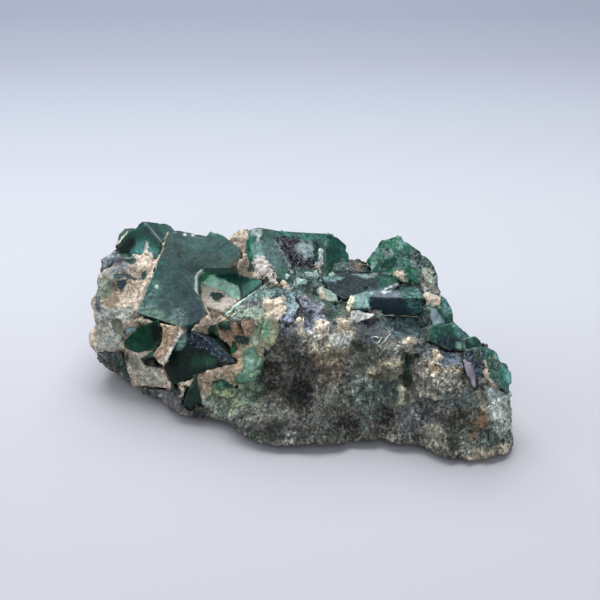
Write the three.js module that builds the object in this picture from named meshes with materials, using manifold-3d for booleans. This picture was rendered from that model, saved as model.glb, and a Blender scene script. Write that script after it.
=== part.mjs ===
// Green fluorite specimen: cubes of green fluorite, grown together in groups, stand in cream clay
// and in a rough block of massive fluorite.
// Millimetres. X runs along the block, Y away from its front and Z up from the flat base at z = 0.

import * as THREE from "three";
import { mergeVertices } from "three/addons/utils/BufferGeometryUtils.js";
import { ImprovedNoise } from "three/addons/math/ImprovedNoise.js";
import Module from "manifold-3d";

const wasm = await Module();
wasm.setup();

// Driving dimensions
const gap = 0.35;                  // clearance left between pieces that touch
const facetsAlong = 48;            // facets of the block along X
const facetsAround = 46;           // facets of the block round one cross section
const layerShift = 11.7;           // keeps the noise layers from lining up
const lumps = [
  { across: 19, height: 3 },       // broad lumps and hollows of the broken rock
  { across: 9, height: 3.2 },      // knobs and ledges
  { across: 4.5, height: 2 },      // pits
];
const reliefs = [
  { at: [0, -20, 16], reach: 6, height: -3.5 },    // hollows in the front
  { at: [17, -27, 8], reach: 6, height: -3 },
  { at: [28, -26, 10], reach: 5, height: -3 },
  { at: [36, -19, 17], reach: 5, height: -3 },
  { at: [36, 1, 31], reach: 6, height: -3 },       // recess under the lower ridge cube
  { at: [51, -11, 29], reach: 5, height: -2.5 },   // recess under the shoulder
  { at: [59, -33, 11], reach: 5, height: -2.5 },
  { at: [-55, 0, 17], reach: 4, height: -3 },      // hole under the window crystal
  { at: [-25, -3, 26], reach: 5, height: -2.5 },   // hollow in the clay
  { at: [-20, -24, 6], reach: 7, height: 2 },      // lumps along the foot
  { at: [6, -24, 11], reach: 6, height: 2 },
  { at: [3, -7, 33], reach: 8, height: 2 },        // pale brow
  { at: [31, -13, 26], reach: 6, height: 2.5 },    // tan ledge
  { at: [48, -19, 24], reach: 8, height: 2.5 },    // sandy corner block
  { at: [65, -34, 1], reach: 6, height: 1.5 },     // thin ledge at the floor
];
const finest = 0.02;               // vertices closer together than this become one
const cutterSize = 400;            // side of the cube below z = 0 that cuts the base flat

// Cross sections of the block from its left end to its right. Each is seven points [y, z]:
// front foot, belly, brow, ridge, crest, back and heel.
const sections = [
  { x: -76, outline: [[18, 12], [15, 17], [16, 26], [22, 34], [31, 42], [33, 23], [28, 12]] },
  { x: -72, outline: [[9, 8], [7, 16], [11, 27], [22, 38], [36, 44], [43, 24], [34, 8]] },
  { x: -64, outline: [[2, 5], [2, 12], [9, 24], [20, 36], [38, 45], [46, 26], [38, 4]] },
  { x: -54, outline: [[-4, 2], [-5, 12], [6, 22], [18, 36], [37, 46], [47, 27], [40, 1]] },
  { x: -44, outline: [[-12, 1], [-8, 13], [3, 23], [18, 36], [34, 46], [46, 27], [40, -2]] },
  { x: -34, outline: [[-16, 1], [-11, 13], [-1, 24], [16, 31], [33, 47], [46, 27], [40, -3]] },
  { x: -24, outline: [[-22, 2], [-20, 10], [-9, 25], [16, 31], [34, 53], [46, 27], [40, -3]] },
  { x: -14, outline: [[-30, 1], [-22, 12], [-7, 29], [12, 35], [33, 47], [45, 26], [40, -3]] },
  { x: -2, outline: [[-31, 2], [-20, 15], [-7, 32], [10, 38], [33, 47], [43, 26], [38, -3]] },
  { x: 12, outline: [[-30, 3], [-19, 17], [-7, 32], [10, 38], [32, 44], [42, 25], [37, -3]] },
  { x: 24, outline: [[-29, 3], [-18, 17], [-8, 31], [10, 36], [28, 41], [40, 24], [36, -3]] },
  { x: 36, outline: [[-30, 3], [-19, 17], [-10, 30], [8, 32], [28, 43], [38, 24], [34, -3]] },
  { x: 46, outline: [[-34, 0], [-24, 17], [-14, 28], [4, 31], [20, 37], [31, 22], [28, -2]] },
  { x: 56, outline: [[-38, -1], [-28, 16], [-17, 25], [-8, 28], [0, 29], [12, 18], [12, -1]] },
  { x: 66, outline: [[-34, -1], [-30, 14], [-24, 23], [-18, 25], [-12, 25], [-4, 15], [-6, 0]] },
  { x: 73, outline: [[-28, 1], [-27, 12], [-26, 19], [-24, 22], [-20, 21], [-18, 13], [-20, 2]] },
];

// Crystals by group. A crystal is a flat face, seen from outside, with the rest of the cube behind it:
// a point on the face, the way it faces [azimuth, elevation], its outline [across, up] and its depth.
const crystalGroups = {
  left_crystals: [
    {
      at: [-42.5, 17, 43], facing: [-15, 55], depth: 16, // large slanted face
      outline: [[-10.5, 17.5], [4, 16.5], [5, 19], [10.5, 17.5], [16.5, 14], [18, 11], [17.5, 5.5],
        [7, 4], [4.5, 0.5], [6, -5.5], [11.5, -13.5], [9.5, -16.5], [5, -20], [-7, -18], [-14, -17],
        [-11.5, 2]],
    },
    {
      at: [-59.5, 37.5, 54], facing: [-27, 30], depth: 20, // top left corner
      outline: [[0, 0], [9, -6], [10, -12], [7, -15], [1.5, -17], [-3.5, -16.5], [-9.5, -12], [-5.5, -6]],
    },
    {
      at: [-67.5, 40, 44.5], facing: [-40, 40], depth: 12, // thin corner behind it
      outline: [[2, 5.5], [-2, 4], [-3.5, 1], [-2.5, -4], [2, -4.5], [5, 0]],
    },
    {
      at: [-30, 18, 36], facing: [-15, 55], depth: 10, // step below the slanted face
      outline: [[-9.5, 6], [4, 7], [14.5, 6], [15.5, 2.5], [8, -2.5], [4, -8.5], [-3.5, -7], [-8, -2]],
    },
  ],
  plate_crystal: [
    {
      at: [-14.5, 11.5, 43], facing: [-35, 62], depth: 12, // its left edge is the bright ridge
      outline: [[0, 0], [-7.5, -16], [-1.5, -18], [8, -12.5], [19, -10], [18.5, -2.5], [10.5, 2]],
    },
  ],
  dark_crystal: [
    {
      at: [-43, 1.5, 29], facing: [-33.5, 29.6], depth: 12,
      outline: [[1, 1.5], [10.5, 0.5], [22.5, -4.5], [12, -12], [2, -20], [-4, -15.5]],
    },
  ],
  window_crystal: [
    {
      at: [-56.5, 2, 27], facing: [-25, 25], depth: 12,
      outline: [[-8, -4.5], [-4, 1.5], [4, 6.5], [6, 2.5], [7.5, 0.5], [4.5, -4.5], [-2, -7.5], [-8, -7]],
    },
  ],
  wedge_crystal: [
    {
      at: [-38.5, -13, 11], facing: [10, 10], depth: 8,
      outline: [[1.5, 7], [-3, 0], [-4, -3], [0, -9], [3.5, -7], [2, 1]],
    },
  ],
  back_crystals: [
    {
      at: [-12, 26, 46], facing: [-20, 42], depth: 16,
      outline: [[-12.5, 7], [-7, 9.5], [0.5, 9.5], [14, -9], [2.5, -9.5], [-6, -6], [-10, 0.5]],
    },
    {
      at: [-14.5, 24.5, 44], facing: [-30, 40], depth: 14, // lower left corner
      outline: [[-8.5, 2], [-1, 2], [3, -1.5], [2, -6.5], [-4, -4]],
    },
    {
      at: [-0.5, 24.5, 45], facing: [-12, 30], depth: 18,
      outline: [[-11, 9.5], [8.5, 10.5], [11, -8], [0.5, -10]],
    },
    {
      at: [12.5, 24.5, 44], facing: [50, 28], depth: 16, // right side of the block of cubes
      outline: [[0.5, 11.5], [5.5, 7.5], [8, 3.5], [7, -3], [3, -10], [-9, -5.5]],
    },
  ],
  peak_crystals: [
    {
      at: [31.5, 23, 45], facing: [-15, 35], depth: 14,
      outline: [[-8, -1], [-5, 5], [-3.5, 7.5], [2.5, 10], [8, 1], [8.5, -6.5], [1, -6], [-5.5, -4]],
    },
    {
      at: [45.5, 24, 41], facing: [30, 35], depth: 14,
      outline: [[-5, 12.5], [-0.5, 7.5], [4, 2], [4.5, -3.5], [3, -9], [-2.5, -6], [-8, -1], [-6, 4.5]],
    },
    {
      at: [29.5, 20.5, 44], facing: [-5, 45], depth: 12, // small corner below the peak
      outline: [[-4.5, -1.5], [-1, 2], [5.5, -3.5], [1, -4.5]],
    },
  ],
  ridge_crystals: [
    {
      at: [23, 15.5, 41], facing: [0, 62], depth: 12,
      outline: [[-15.5, 2], [-10, 4.5], [2.5, 4.5], [11.5, 3], [12.5, -1], [7, -3.5], [-8, -7], [-13, -3.5]],
    },
    {
      at: [34.5, 6.5, 36], facing: [5, 8], depth: 12,
      outline: [[-10.5, 4.5], [9.5, 3], [11, -3.5], [1, -3.5], [-9.5, -3]],
    },
    {
      at: [20.5, 7.5, 37.5], facing: [-45, 30], depth: 12, // bright left side of the lower cube
      outline: [[-5, -3.5], [-4, 0.5], [1.5, 5], [3.5, 3], [5.5, -1], [2.5, -3.5], [-2.5, -5]],
    },
  ],
  corner_crystal: [
    {
      at: [8.5, 11, 39], facing: [-20, 55], depth: 8,
      outline: [[-5, 0.5], [-2.5, 3], [4.5, 0.5], [5.5, -2.5], [-0.5, -3.5]],
    },
  ],
  shoulder_crystals: [
    {
      at: [51, 5, 35.5], facing: [35, 40], depth: 12,
      outline: [[-3, 8], [0.5, 6.5], [3, 3.5], [3.5, 0], [2, -5], [-2.5, -5], [-6.5, -3.5], [-6, 3]],
    },
    {
      at: [53.5, -8, 32.5], facing: [20, 40], depth: 12,
      outline: [[-7.5, 6], [-2, 5], [1.5, 5.5], [5.5, -0.5], [5, -3.5], [2.5, -5], [-1.5, -4.5], [-9.5, 1]],
    },
    {
      at: [60.5, -11, 31.5], facing: [20, 38], depth: 10, // knob at the low end
      outline: [[-3.5, 3], [1, 3], [2.5, 1], [2.5, -1.5], [1.5, -2.5], [-4.5, -1]],
    },
  ],
  end_crystals: [
    {
      at: [65.5, -18, 28], facing: [40, 30], depth: 12,
      outline: [[-2, 7.5], [2, 6], [4.5, 3], [4.5, 0], [3, -9], [0.5, -7], [-2, -0.5], [-3, 3]],
    },
    {
      at: [70, -22.5, 26], facing: [45, 20], depth: 12,
      outline: [[-1.5, 7.5], [1.5, 4.5], [3.5, 1], [3, -2.5], [0, -6.5], [-3.5, -1.5]],
    },
    {
      at: [59.5, -18, 26], facing: [10, 35], depth: 12,
      outline: [[-2, 7.5], [4, 7], [5, -4], [4, -6.5], [0, -6.5], [-2.5, 3]],
    },
  ],
  rear_left_crystals: [
    {
      at: [-38, 47, 27], facing: [168, 22], depth: 14,
      outline: [[-9, -6], [6, -9], [9, 5], [-6, 8]],
    },
    {
      at: [-50, 45, 20], facing: [205, 10], depth: 12,
      outline: [[-7, -5], [4, -7], [7, 4], [-4, 7]],
    },
  ],
  rear_right_crystals: [
    {
      at: [6, 44, 25], facing: [185, 25], depth: 14,
      outline: [[-7, -8], [8, -5], [6, 8], [-8, 5]],
    },
    {
      at: [18, 40, 30], facing: [160, 45], depth: 12,
      outline: [[-6, -5], [5, -6], [6, 5], [-5, 6]],
    },
  ],
};

// The clay fills the block as far as this outline, to a plane behind it
const clayFill = {
  at: [-40, 2.5, 33], facing: [5, 35], rise: 40, depth: 22,
  outline: [[-41, -9], [-40, 13], [-32, 20], [-27, 22.5], [-24.5, 30], [-12.5, 40], [22, 38], [23, 24],
    [26.5, 11.5], [23, 6], [26, -10], [23.5, -20], [16.5, -24], [2, -28], [-5, -25], [-22, -22.5],
    [-25.5, -9.5]],
};

const noise = new ImprovedNoise();

// How far the rock's surface stands out at a point
function roughness(point) {
  let height = 0;
  reliefs.forEach((relief) => {
    const distance = point.distanceTo(new THREE.Vector3(...relief.at)) / relief.reach;
    height += relief.height * Math.exp(-distance * distance);
  });
  lumps.forEach((lump, layer) => {
    const place = point.clone().divideScalar(lump.across).addScalar(layerShift * (layer + 1));
    height += lump.height * noise.noise(place.x, place.y, place.z);
  });
  return height;
}

// One closed line round each section, and lines from section to section through matching points
function blockPoints() {
  const rings = sections.map(({ x, outline }) => {
    const corners = outline.map(([y, z]) => new THREE.Vector3(x, y, z));
    return new THREE.CatmullRomCurve3(corners, true, "centripetal");
  });
  const rails = [];
  for (let i = 0; i < facetsAround; i += 1) {
    const stations = rings.map((ring) => ring.getPoint(1 - i / facetsAround));
    const rail = new THREE.CatmullRomCurve3(stations, false, "centripetal");
    rails.push(rail.getPoints(facetsAlong));
  }
  return rails;
}

// The block starts as a capped cylinder whose vertices move to the section outlines
function blockGeometry() {
  const rails = blockPoints();
  const cylinder = new THREE.CylinderGeometry(1, 1, 1, facetsAround, facetsAlong);
  const place = cylinder.getAttribute("position");
  for (let i = 0; i < place.count; i += 1) {
    const turn = Math.atan2(place.getX(i), place.getZ(i)) / (2 * Math.PI);
    const around = (Math.round(turn * facetsAround) + facetsAround) % facetsAround;
    const along = Math.round((place.getY(i) + 0.5) * facetsAlong);
    const point = new THREE.Vector3();
    if (Math.hypot(place.getX(i), place.getZ(i)) < 0.5) {
      rails.forEach((rail) => point.addScaledVector(rail[along], 1 / rails.length));
    } else {
      point.copy(rails[around][along]);
    }
    place.setXYZ(i, point.x, point.y, point.z);
  }
  cylinder.deleteAttribute("normal");
  cylinder.deleteAttribute("uv");
  const block = mergeVertices(cylinder, 0.001);
  block.computeVertexNormals();
  return block;
}

function roughen(geometry) {
  const place = geometry.getAttribute("position");
  const outward = geometry.getAttribute("normal");
  for (let i = 0; i < place.count; i += 1) {
    const point = new THREE.Vector3().fromBufferAttribute(place, i);
    const normal = new THREE.Vector3().fromBufferAttribute(outward, i);
    point.addScaledVector(normal, roughness(point));
    place.setXYZ(i, point.x, point.y, point.z);
  }
  return geometry;
}

function toSolid(geometry, tolerance = 0.0001) {
  geometry.deleteAttribute("normal");
  geometry.deleteAttribute("uv");
  const closed = mergeVertices(geometry, tolerance);
  const vertProperties = new Float32Array(closed.getAttribute("position").array);
  const triVerts = new Uint32Array(closed.index.array);
  return new wasm.Manifold(new wasm.Mesh({ numProp: 3, vertProperties, triVerts }));
}

// The direction in which a face looks, and the two directions that lie in it
function faceAxes([azimuth, elevation]) {
  const turn = THREE.MathUtils.degToRad(azimuth);
  const lift = THREE.MathUtils.degToRad(elevation);
  const out = new THREE.Vector3(
    Math.sin(turn) * Math.cos(lift),
    -Math.cos(turn) * Math.cos(lift),
    Math.sin(lift),
  );
  const across = new THREE.Vector3(0, 0, 1).cross(out).normalize();
  const up = out.clone().cross(across);
  return new THREE.Matrix4().makeBasis(across, up, out);
}

// A prism behind a face, or with room round it when the rock round a crystal is cut away
function prism({ at, facing, depth, rise = 0, outline }, room = 0) {
  const shape = new THREE.Shape(outline.map(([across, up]) => new THREE.Vector2(across, up)));
  const solid = new THREE.ExtrudeGeometry(shape, {
    depth: depth + rise,
    bevelEnabled: room > 0,
    bevelThickness: room,
    bevelSize: room,
    bevelSegments: 1,
  });
  solid.translate(0, 0, -depth);
  solid.applyMatrix4(faceAxes(facing).setPosition(...at));
  return toSolid(solid);
}

function join(solids) {
  return solids.reduce((whole, solid) => whole.add(solid));
}

function largestPiece(solid) {
  return solid.decompose().reduce((best, other) => (other.volume() > best.volume() ? other : best));
}

function toGeometry(solid) {
  const { vertProperties, triVerts } = solid.getMesh();
  const geometry = new THREE.BufferGeometry();
  geometry.setAttribute("position", new THREE.BufferAttribute(new Float32Array(vertProperties), 3));
  geometry.setIndex(new THREE.BufferAttribute(new Uint32Array(triVerts), 1));
  return geometry;
}

function flatBase() {
  const box = new THREE.BoxGeometry(cutterSize, cutterSize, cutterSize);
  box.translate(0, 0, -cutterSize / 2);
  return toSolid(box);
}

// A named piece. The slivers and crumbs that the cuts left are dropped.
function piece(name, solid, material) {
  const settled = largestPiece(toSolid(toGeometry(solid), finest));
  const mesh = new THREE.Mesh(toGeometry(settled), material);
  mesh.name = name;
  return mesh;
}

const greenFluorite = new THREE.MeshStandardMaterial({ color: 0x2f6f57, roughness: 0.25, metalness: 0 });
const creamClay = new THREE.MeshStandardMaterial({ color: 0xcdbda6, roughness: 0.95, metalness: 0 });
const massiveFluorite = new THREE.MeshStandardMaterial({ color: 0x6f6c60, roughness: 0.8, metalness: 0 });

const specimen = new THREE.Group();
let rock = toSolid(roughen(blockGeometry())).subtract(flatBase());
let taken = null;
for (const [name, crystals] of Object.entries(crystalGroups)) {
  let group = join(crystals.map((crystal) => prism(crystal)));
  const room = join(crystals.map((crystal) => prism(crystal, gap)));
  if (taken) {
    group = group.subtract(taken);
  }
  taken = taken ? taken.add(room) : room;
  specimen.add(piece(name, group, greenFluorite));
}
rock = rock.subtract(taken);
specimen.add(piece("clay", rock.intersect(prism(clayFill)), creamClay));
specimen.add(piece("matrix", rock.subtract(prism(clayFill, gap)), massiveFluorite));

export default specimen;
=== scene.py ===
import math

import bpy
import numpy as np
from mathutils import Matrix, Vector, noise
from mathutils.bvhtree import BVHTree


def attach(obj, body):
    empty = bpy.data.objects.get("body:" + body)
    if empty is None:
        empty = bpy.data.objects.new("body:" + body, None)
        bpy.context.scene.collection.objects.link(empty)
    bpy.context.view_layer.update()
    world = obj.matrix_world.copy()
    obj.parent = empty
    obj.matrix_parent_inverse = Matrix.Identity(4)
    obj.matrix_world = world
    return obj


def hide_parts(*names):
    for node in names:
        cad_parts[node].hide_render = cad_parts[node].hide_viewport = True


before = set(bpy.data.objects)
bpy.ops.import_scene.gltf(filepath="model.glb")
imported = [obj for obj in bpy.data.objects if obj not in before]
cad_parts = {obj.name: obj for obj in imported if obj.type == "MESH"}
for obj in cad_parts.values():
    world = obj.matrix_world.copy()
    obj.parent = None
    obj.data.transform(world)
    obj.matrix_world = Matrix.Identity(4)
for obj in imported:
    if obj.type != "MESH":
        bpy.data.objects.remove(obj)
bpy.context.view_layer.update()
mm = 0.001
print("frame loaded:", len(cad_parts), "nodes")


def toLinear(hexColour):
    values = []
    for i in (1, 3, 5):
        c = int(hexColour[i:i + 2], 16) / 255
        values.append(c / 12.92 if c <= 0.04045 else ((c + 0.055) / 1.055) ** 2.4)
    return (*values, 1.0)


def linkInputs(tree, node, links):
    # each input takes a socket, or the first output in use of a node
    for key, source in links.items():
        if isinstance(source, bpy.types.Node):
            source = next(socket for socket in source.outputs if socket.enabled)
        tree.links.new(source, node.inputs[key])


def addNode(tree, kind, settings=None, links=None):
    # a key that is a number or an input's name sets that input, any other key sets the node itself
    node = tree.nodes.new("ShaderNode" + kind)
    for key, value in (settings or {}).items():
        if isinstance(key, int) or key in node.inputs:
            node.inputs[key].default_value = value
        else:
            setattr(node, key, value)
    linkInputs(tree, node, links or {})
    return node


def newMaterial(name, constants):
    material = bpy.data.materials.new(name)
    material.use_nodes = True
    shader = material.node_tree.nodes["Principled BSDF"]
    for key, value in constants.items():
        shader.inputs[key].default_value = value
    return material, material.node_tree, shader


def deselectAll():
    bpy.ops.object.select_all(action="DESELECT")


def makeActive(piece):
    deselectAll()
    piece.select_set(True)
    bpy.context.view_layer.objects.active = piece


def applyModifier(piece, kind, **settings):
    modifier = piece.modifiers.new(kind.lower(), kind)
    for key, value in settings.items():
        setattr(modifier, key, value)
    makeActive(piece)
    bpy.ops.object.modifier_apply(modifier=modifier.name)


def finishPiece(piece, material, nodeName):
    piece.data.materials.clear()
    piece.data.materials.append(material)
    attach(piece, "root")
    if nodeName:
        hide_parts(nodeName)


# Camera

cameraView = {"target": (-0.7, 8.0, 38.0), "distance": 420.0, "elevation": 33.0, "lens": 70.0}
target = Vector(cameraView["target"]) * mm
lift = math.radians(cameraView["elevation"])
back = Vector((0, -math.cos(lift), math.sin(lift)))
cameraPlace = target + back * cameraView["distance"] * mm
bpy.ops.object.camera_add(location=cameraPlace, rotation=(math.radians(90) - lift, 0, 0))
camera = bpy.context.object
camera.data.lens = cameraView["lens"]
camera.data.clip_start = 0.01
bpy.context.scene.camera = camera
bpy.context.scene.view_settings.view_transform = "Standard"


# Floor, a plain pale sweep, its colour painted lighter round the object and darker towards the back as
# painted light falloff

floorLook = {
    "width": 6,
    "tones": [(-0.1, "#b0b2b9"), (0.0, "#b0b2b9"), (0.07, "#b1b4bc"), (0.15, "#acb0b8"),
              (0.25, "#9ba0ab"), (0.34, "#878c99"), (0.42, "#7b8190"), (1.5, "#767c8b")],
}
deselectAll()
bpy.ops.mesh.primitive_plane_add(size=floorLook["width"], location=(0, 0, 0))
floor = bpy.context.object
floor.name = "floor"
paper, tree, shader = newMaterial("matt background paper", {"Roughness": 0.9, "Specular IOR Level": 0.2})
place = addNode(tree, "TexCoord")
axes = addNode(tree, "SeparateXYZ", links={0: place.outputs["Object"]})
nearest, furthest = floorLook["tones"][0][0], floorLook["tones"][-1][0]
away = addNode(tree, "MapRange", {1: nearest, 2: furthest}, {0: axes.outputs["Y"]})
tone = addNode(tree, "ValToRGB", links={0: away})
stops = tone.color_ramp.elements
for i, (distance, colour) in enumerate(floorLook["tones"]):
    share = (distance - nearest) / (furthest - nearest)
    stop = stops[0] if i == 0 else stops[-1] if i == len(floorLook["tones"]) - 1 else stops.new(share)
    stop.position = share
    stop.color = toLinear(colour)
linkInputs(tree, shader, {"Base Color": tone})
floor.data.materials.append(paper)


# Lights: one broad soft box overhead and a little behind, weaker ones from the left and the front, pale room

lamps = {
    "overhead soft box": {"at": (-0.04, 0.47, 0.76), "size": 0.9, "power": 14.3},
    "left fill": {"at": (-0.7, 0.1, 0.5), "size": 0.8, "power": 2.5},
    "front fill": {"at": (0.1, -0.8, 0.75), "size": 0.9, "power": 3.4},
}
lampAim = Vector((0, 0, 0.03))
for lampName, lamp in lamps.items():
    bpy.ops.object.light_add(type="AREA", location=lamp["at"])
    light = bpy.context.object
    light.name = lampName
    light.data.size = lamp["size"]
    light.data.energy = lamp["power"]
    light.rotation_euler = (lampAim - light.location).to_track_quat("-Z", "Y").to_euler()
room = {"colour": "#dfe5f0", "strength": 0.24}
world = bpy.context.scene.world or bpy.data.worlds.new("pale room")
bpy.context.scene.world = world
world.use_nodes = True
world.node_tree.nodes["Background"].inputs[0].default_value = toLinear(room["colour"])
world.node_tree.nodes["Background"].inputs[1].default_value = room["strength"]
print("camera, floor and lights placed")


# Reading a mesh into arrays, in millimetres

def pointsOf(piece):
    points = np.empty(len(piece.data.vertices) * 3, dtype=np.float32)
    piece.data.vertices.foreach_get("co", points)
    return points.reshape(-1, 3) / mm


def normalsOf(piece):
    normals = np.empty(len(piece.data.vertices) * 3, dtype=np.float32)
    piece.data.vertex_normals.foreach_get("vector", normals)
    return normals.reshape(-1, 3)


def movePoints(piece, points):
    # nothing of the object reaches under the floor
    points[:, 2] = np.maximum(points[:, 2], 0)
    piece.data.vertices.foreach_set("co", np.ascontiguousarray(points * mm, dtype=np.float32).ravel())
    piece.data.update()


def setValues(piece, name, values):
    attribute = piece.data.attributes.new(name, "FLOAT", "POINT")
    attribute.data.foreach_set("value", np.ascontiguousarray(values, dtype=np.float32))


def setColours(piece, name, colours):
    attribute = piece.data.attributes.new(name, "FLOAT_COLOR", "POINT")
    full = np.ones((len(colours), 4), dtype=np.float32)
    full[:, :3] = colours
    attribute.data.foreach_set("color", full.ravel())


def smoothStep(share):
    share = np.clip(share, 0, 1)
    return share * share * (3 - 2 * share)


def wander(points, size):
    # a slow random drift, a direction for each point, that turns over within the size in mm
    return np.array([noise.noise_vector(Vector(p)) for p in (points / size).tolist()])


# Marks: areas outlined by pixels of the photograph and cast on a piece along the line of sight.
# In mm, "soft" is how wide a mark's edge is, "ragged" how far the edge wanders, "height" how far the mark
# stands out, and "reach" how far before and behind its own plane it counts. The plane faces as the piece does
# at the pixel "on", by default the middle of the outline, or as "facing" says, a turn and a tilt in degrees.

picture, sensor = 600, 36.0
towardsCamera = (0, cameraView["elevation"])


def area(colour, *pixels, **settings):
    return {"colour": colour, "pixels": pixels, **settings}


def areas(common, *marks):
    # marks that share some settings, where they have no others of their own
    return [{**common, **mark} for mark in marks]


def faceAxes(facing):
    turn, tilt = (math.radians(v) for v in facing)
    out = Vector((math.sin(turn) * math.cos(tilt), -math.cos(turn) * math.cos(tilt), math.sin(tilt)))
    across = Vector((0, 0, 1)).cross(out).normalized()
    return across, out.cross(across), out


def cameraRay(pixel):
    across, down = ((v - picture / 2) * sensor / picture / cameraView["lens"] for v in pixel)
    right, upward = Vector((1, 0, 0)), Vector((0, math.sin(lift), math.cos(lift)))
    return cameraPlace, (right * across - upward * down - back).normalized()


def seenOn(piece, pixel):
    # the point of a piece that the pixel shows, and the way its surface faces there
    start, sight = cameraRay(pixel)
    found, place, normal, _ = piece.ray_cast(start, sight)
    if not found:
        nearby = start + sight * cameraView["distance"] * mm
        found, place, normal, _ = piece.closest_point_on_mesh(nearby)
    return place, normal


def axesFacing(out):
    across = Vector((0, 0, 1)).cross(out)
    across = across.normalized() if across.length > 1e-3 else Vector((1, 0, 0))
    return across, out.cross(across)


def onPlane(pixel, place, out):
    start, sight = cameraRay(pixel)
    return start + sight * ((place - start).dot(out) / sight.dot(out))


def middleOf(pixels):
    return [sum(p[i] for p in pixels) / len(pixels) for i in (0, 1)]


edgeDrift = {"slow": 3.5, "quick": 1.2, "quickShare": 0.6}
farAway = 20.0


def groundOf(piece, ragged):
    # what the marks on a piece are measured on, with the drift that makes their edges ragged
    points = pointsOf(piece)
    drift = wander(points, edgeDrift["slow"]) + wander(points, edgeDrift["quick"]) * edgeDrift["quickShare"]
    return {"piece": piece, "points": points, "ragged": ragged, "drift": drift}


def insideDistance(ground, mark):
    # how far each point is inside a mark's outline, in mm, and negative outside it
    place, out = seenOn(ground["piece"], mark.get("on") or middleOf(mark["pixels"]))
    if "facing" in mark:
        out = faceAxes(mark["facing"])[2]
    across, up = axesFacing(out)
    outline = []
    for pixel in mark["pixels"]:
        flat = onPlane(pixel, place, out) - place
        outline.append((flat.dot(across) / mm, flat.dot(up) / mm))
    offset = ground["points"] + ground["drift"] * mark.get("ragged", ground["ragged"]) - np.array(place) / mm
    x, y, depth = (offset @ np.array(axis) for axis in (across, up, out))
    nearest = np.full(len(x), 1e6)
    inside = np.zeros(len(x), dtype=bool)
    for (ax, ay), (bx, by) in zip(outline, outline[1:] + outline[:1]):
        ex, ey = bx - ax, by - ay
        along = np.clip(((x - ax) * ex + (y - ay) * ey) / max(ex * ex + ey * ey, 1e-9), 0, 1)
        nearest = np.minimum(nearest, np.hypot(x - ax - along * ex, y - ay - along * ey))
        inside ^= ((ay > y) != (by > y)) & (x < (bx - ax) * (y - ay) / ((by - ay) or 1e-9) + ax)
    return np.minimum(np.where(inside, nearest, -nearest), mark.get("reach", 5.0) - np.abs(depth))


def shareInside(ground, mark):
    return smoothStep(insideDistance(ground, mark) / mark.get("soft", 1.0) + 0.5) * mark.get("strength", 1.0)


def tintFrom(ground, baseColour, marks):
    # colour areas laid over one another on the base colour
    colours = np.tile(np.array(toLinear(baseColour)[:3]), (len(ground["points"]), 1))
    for mark in marks:
        if mark["colour"]:
            share = shareInside(ground, mark)[:, None]
            colours = colours * (1 - share) + np.array(toLinear(mark["colour"])[:3]) * share
    return colours


def grainFrom(ground, baseGrain, marks):
    # how etched and granular the surface is, from 0 for clean glass to 1
    grain = np.full(len(ground["points"]), baseGrain)
    for mark in marks:
        if "grain" in mark:
            share = shareInside(ground, mark)
            grain = grain * (1 - share) + mark["grain"] * share
    return grain


def coverFrom(ground, marks):
    # signed distance to the edge of what lies on the piece, positive where it is covered
    cover = np.full(len(ground["points"]), -farAway)
    for mark in marks:
        inside = insideDistance(ground, mark)
        cover = np.minimum(cover, -inside) if mark.get("hole") else np.maximum(cover, inside)
    return np.clip(cover, -farAway, farAway)


def raiseMarks(ground, marks):
    # moves the surface inside each mark outwards, a little upwards too unless the mark says which way
    moved = pointsOf(ground["piece"])
    for mark in marks:
        if "height" in mark:
            out = faceAxes(mark.get("along", (0, 20)))[2]
            moved += (shareInside(ground, mark) * mark["height"])[:, None] * np.array(out)
    movePoints(ground["piece"], moved)


# Pieces that start from a CAD node's shape

def copyOfNode(nodeName, pieceName):
    piece = bpy.data.objects.new(pieceName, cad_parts[nodeName].data.copy())
    bpy.context.scene.collection.objects.link(piece)
    for name in [a.name for a in piece.data.attributes if a.name.startswith("custom")]:
        piece.data.attributes.remove(piece.data.attributes[name])
    makeActive(piece)
    bpy.ops.object.mode_set(mode="EDIT")
    bpy.ops.mesh.select_all(action="SELECT")
    bpy.ops.mesh.remove_doubles(threshold=0.000005)
    bpy.ops.object.mode_set(mode="OBJECT")
    return piece


def sharpEdges(piece, angle):
    # the outward edges sharper than the angle, as pairs of points in mm
    ends = []
    faces = {}
    for polygon in piece.data.polygons:
        for key in polygon.edge_keys:
            faces.setdefault(key, []).append(polygon)
    corners = piece.data.vertices
    for (a, b), sides in faces.items():
        if len(sides) != 2:
            continue
        one, two = sides
        if one.normal.angle(two.normal, 0) > angle and (two.center - one.center).dot(one.normal) < 0:
            ends.append((corners[a].co / mm, corners[b].co / mm))
    return np.array(ends)


def distanceToEdges(points, ends):
    nearest = np.full(len(points), farAway)
    for a, b in ends:
        edge = b - a
        along = np.clip((points - a) @ edge / max(edge @ edge, 1e-9), 0, 1)
        nearest = np.minimum(nearest, np.linalg.norm(points - a - along[:, None] * edge, axis=1))
    return nearest


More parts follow.
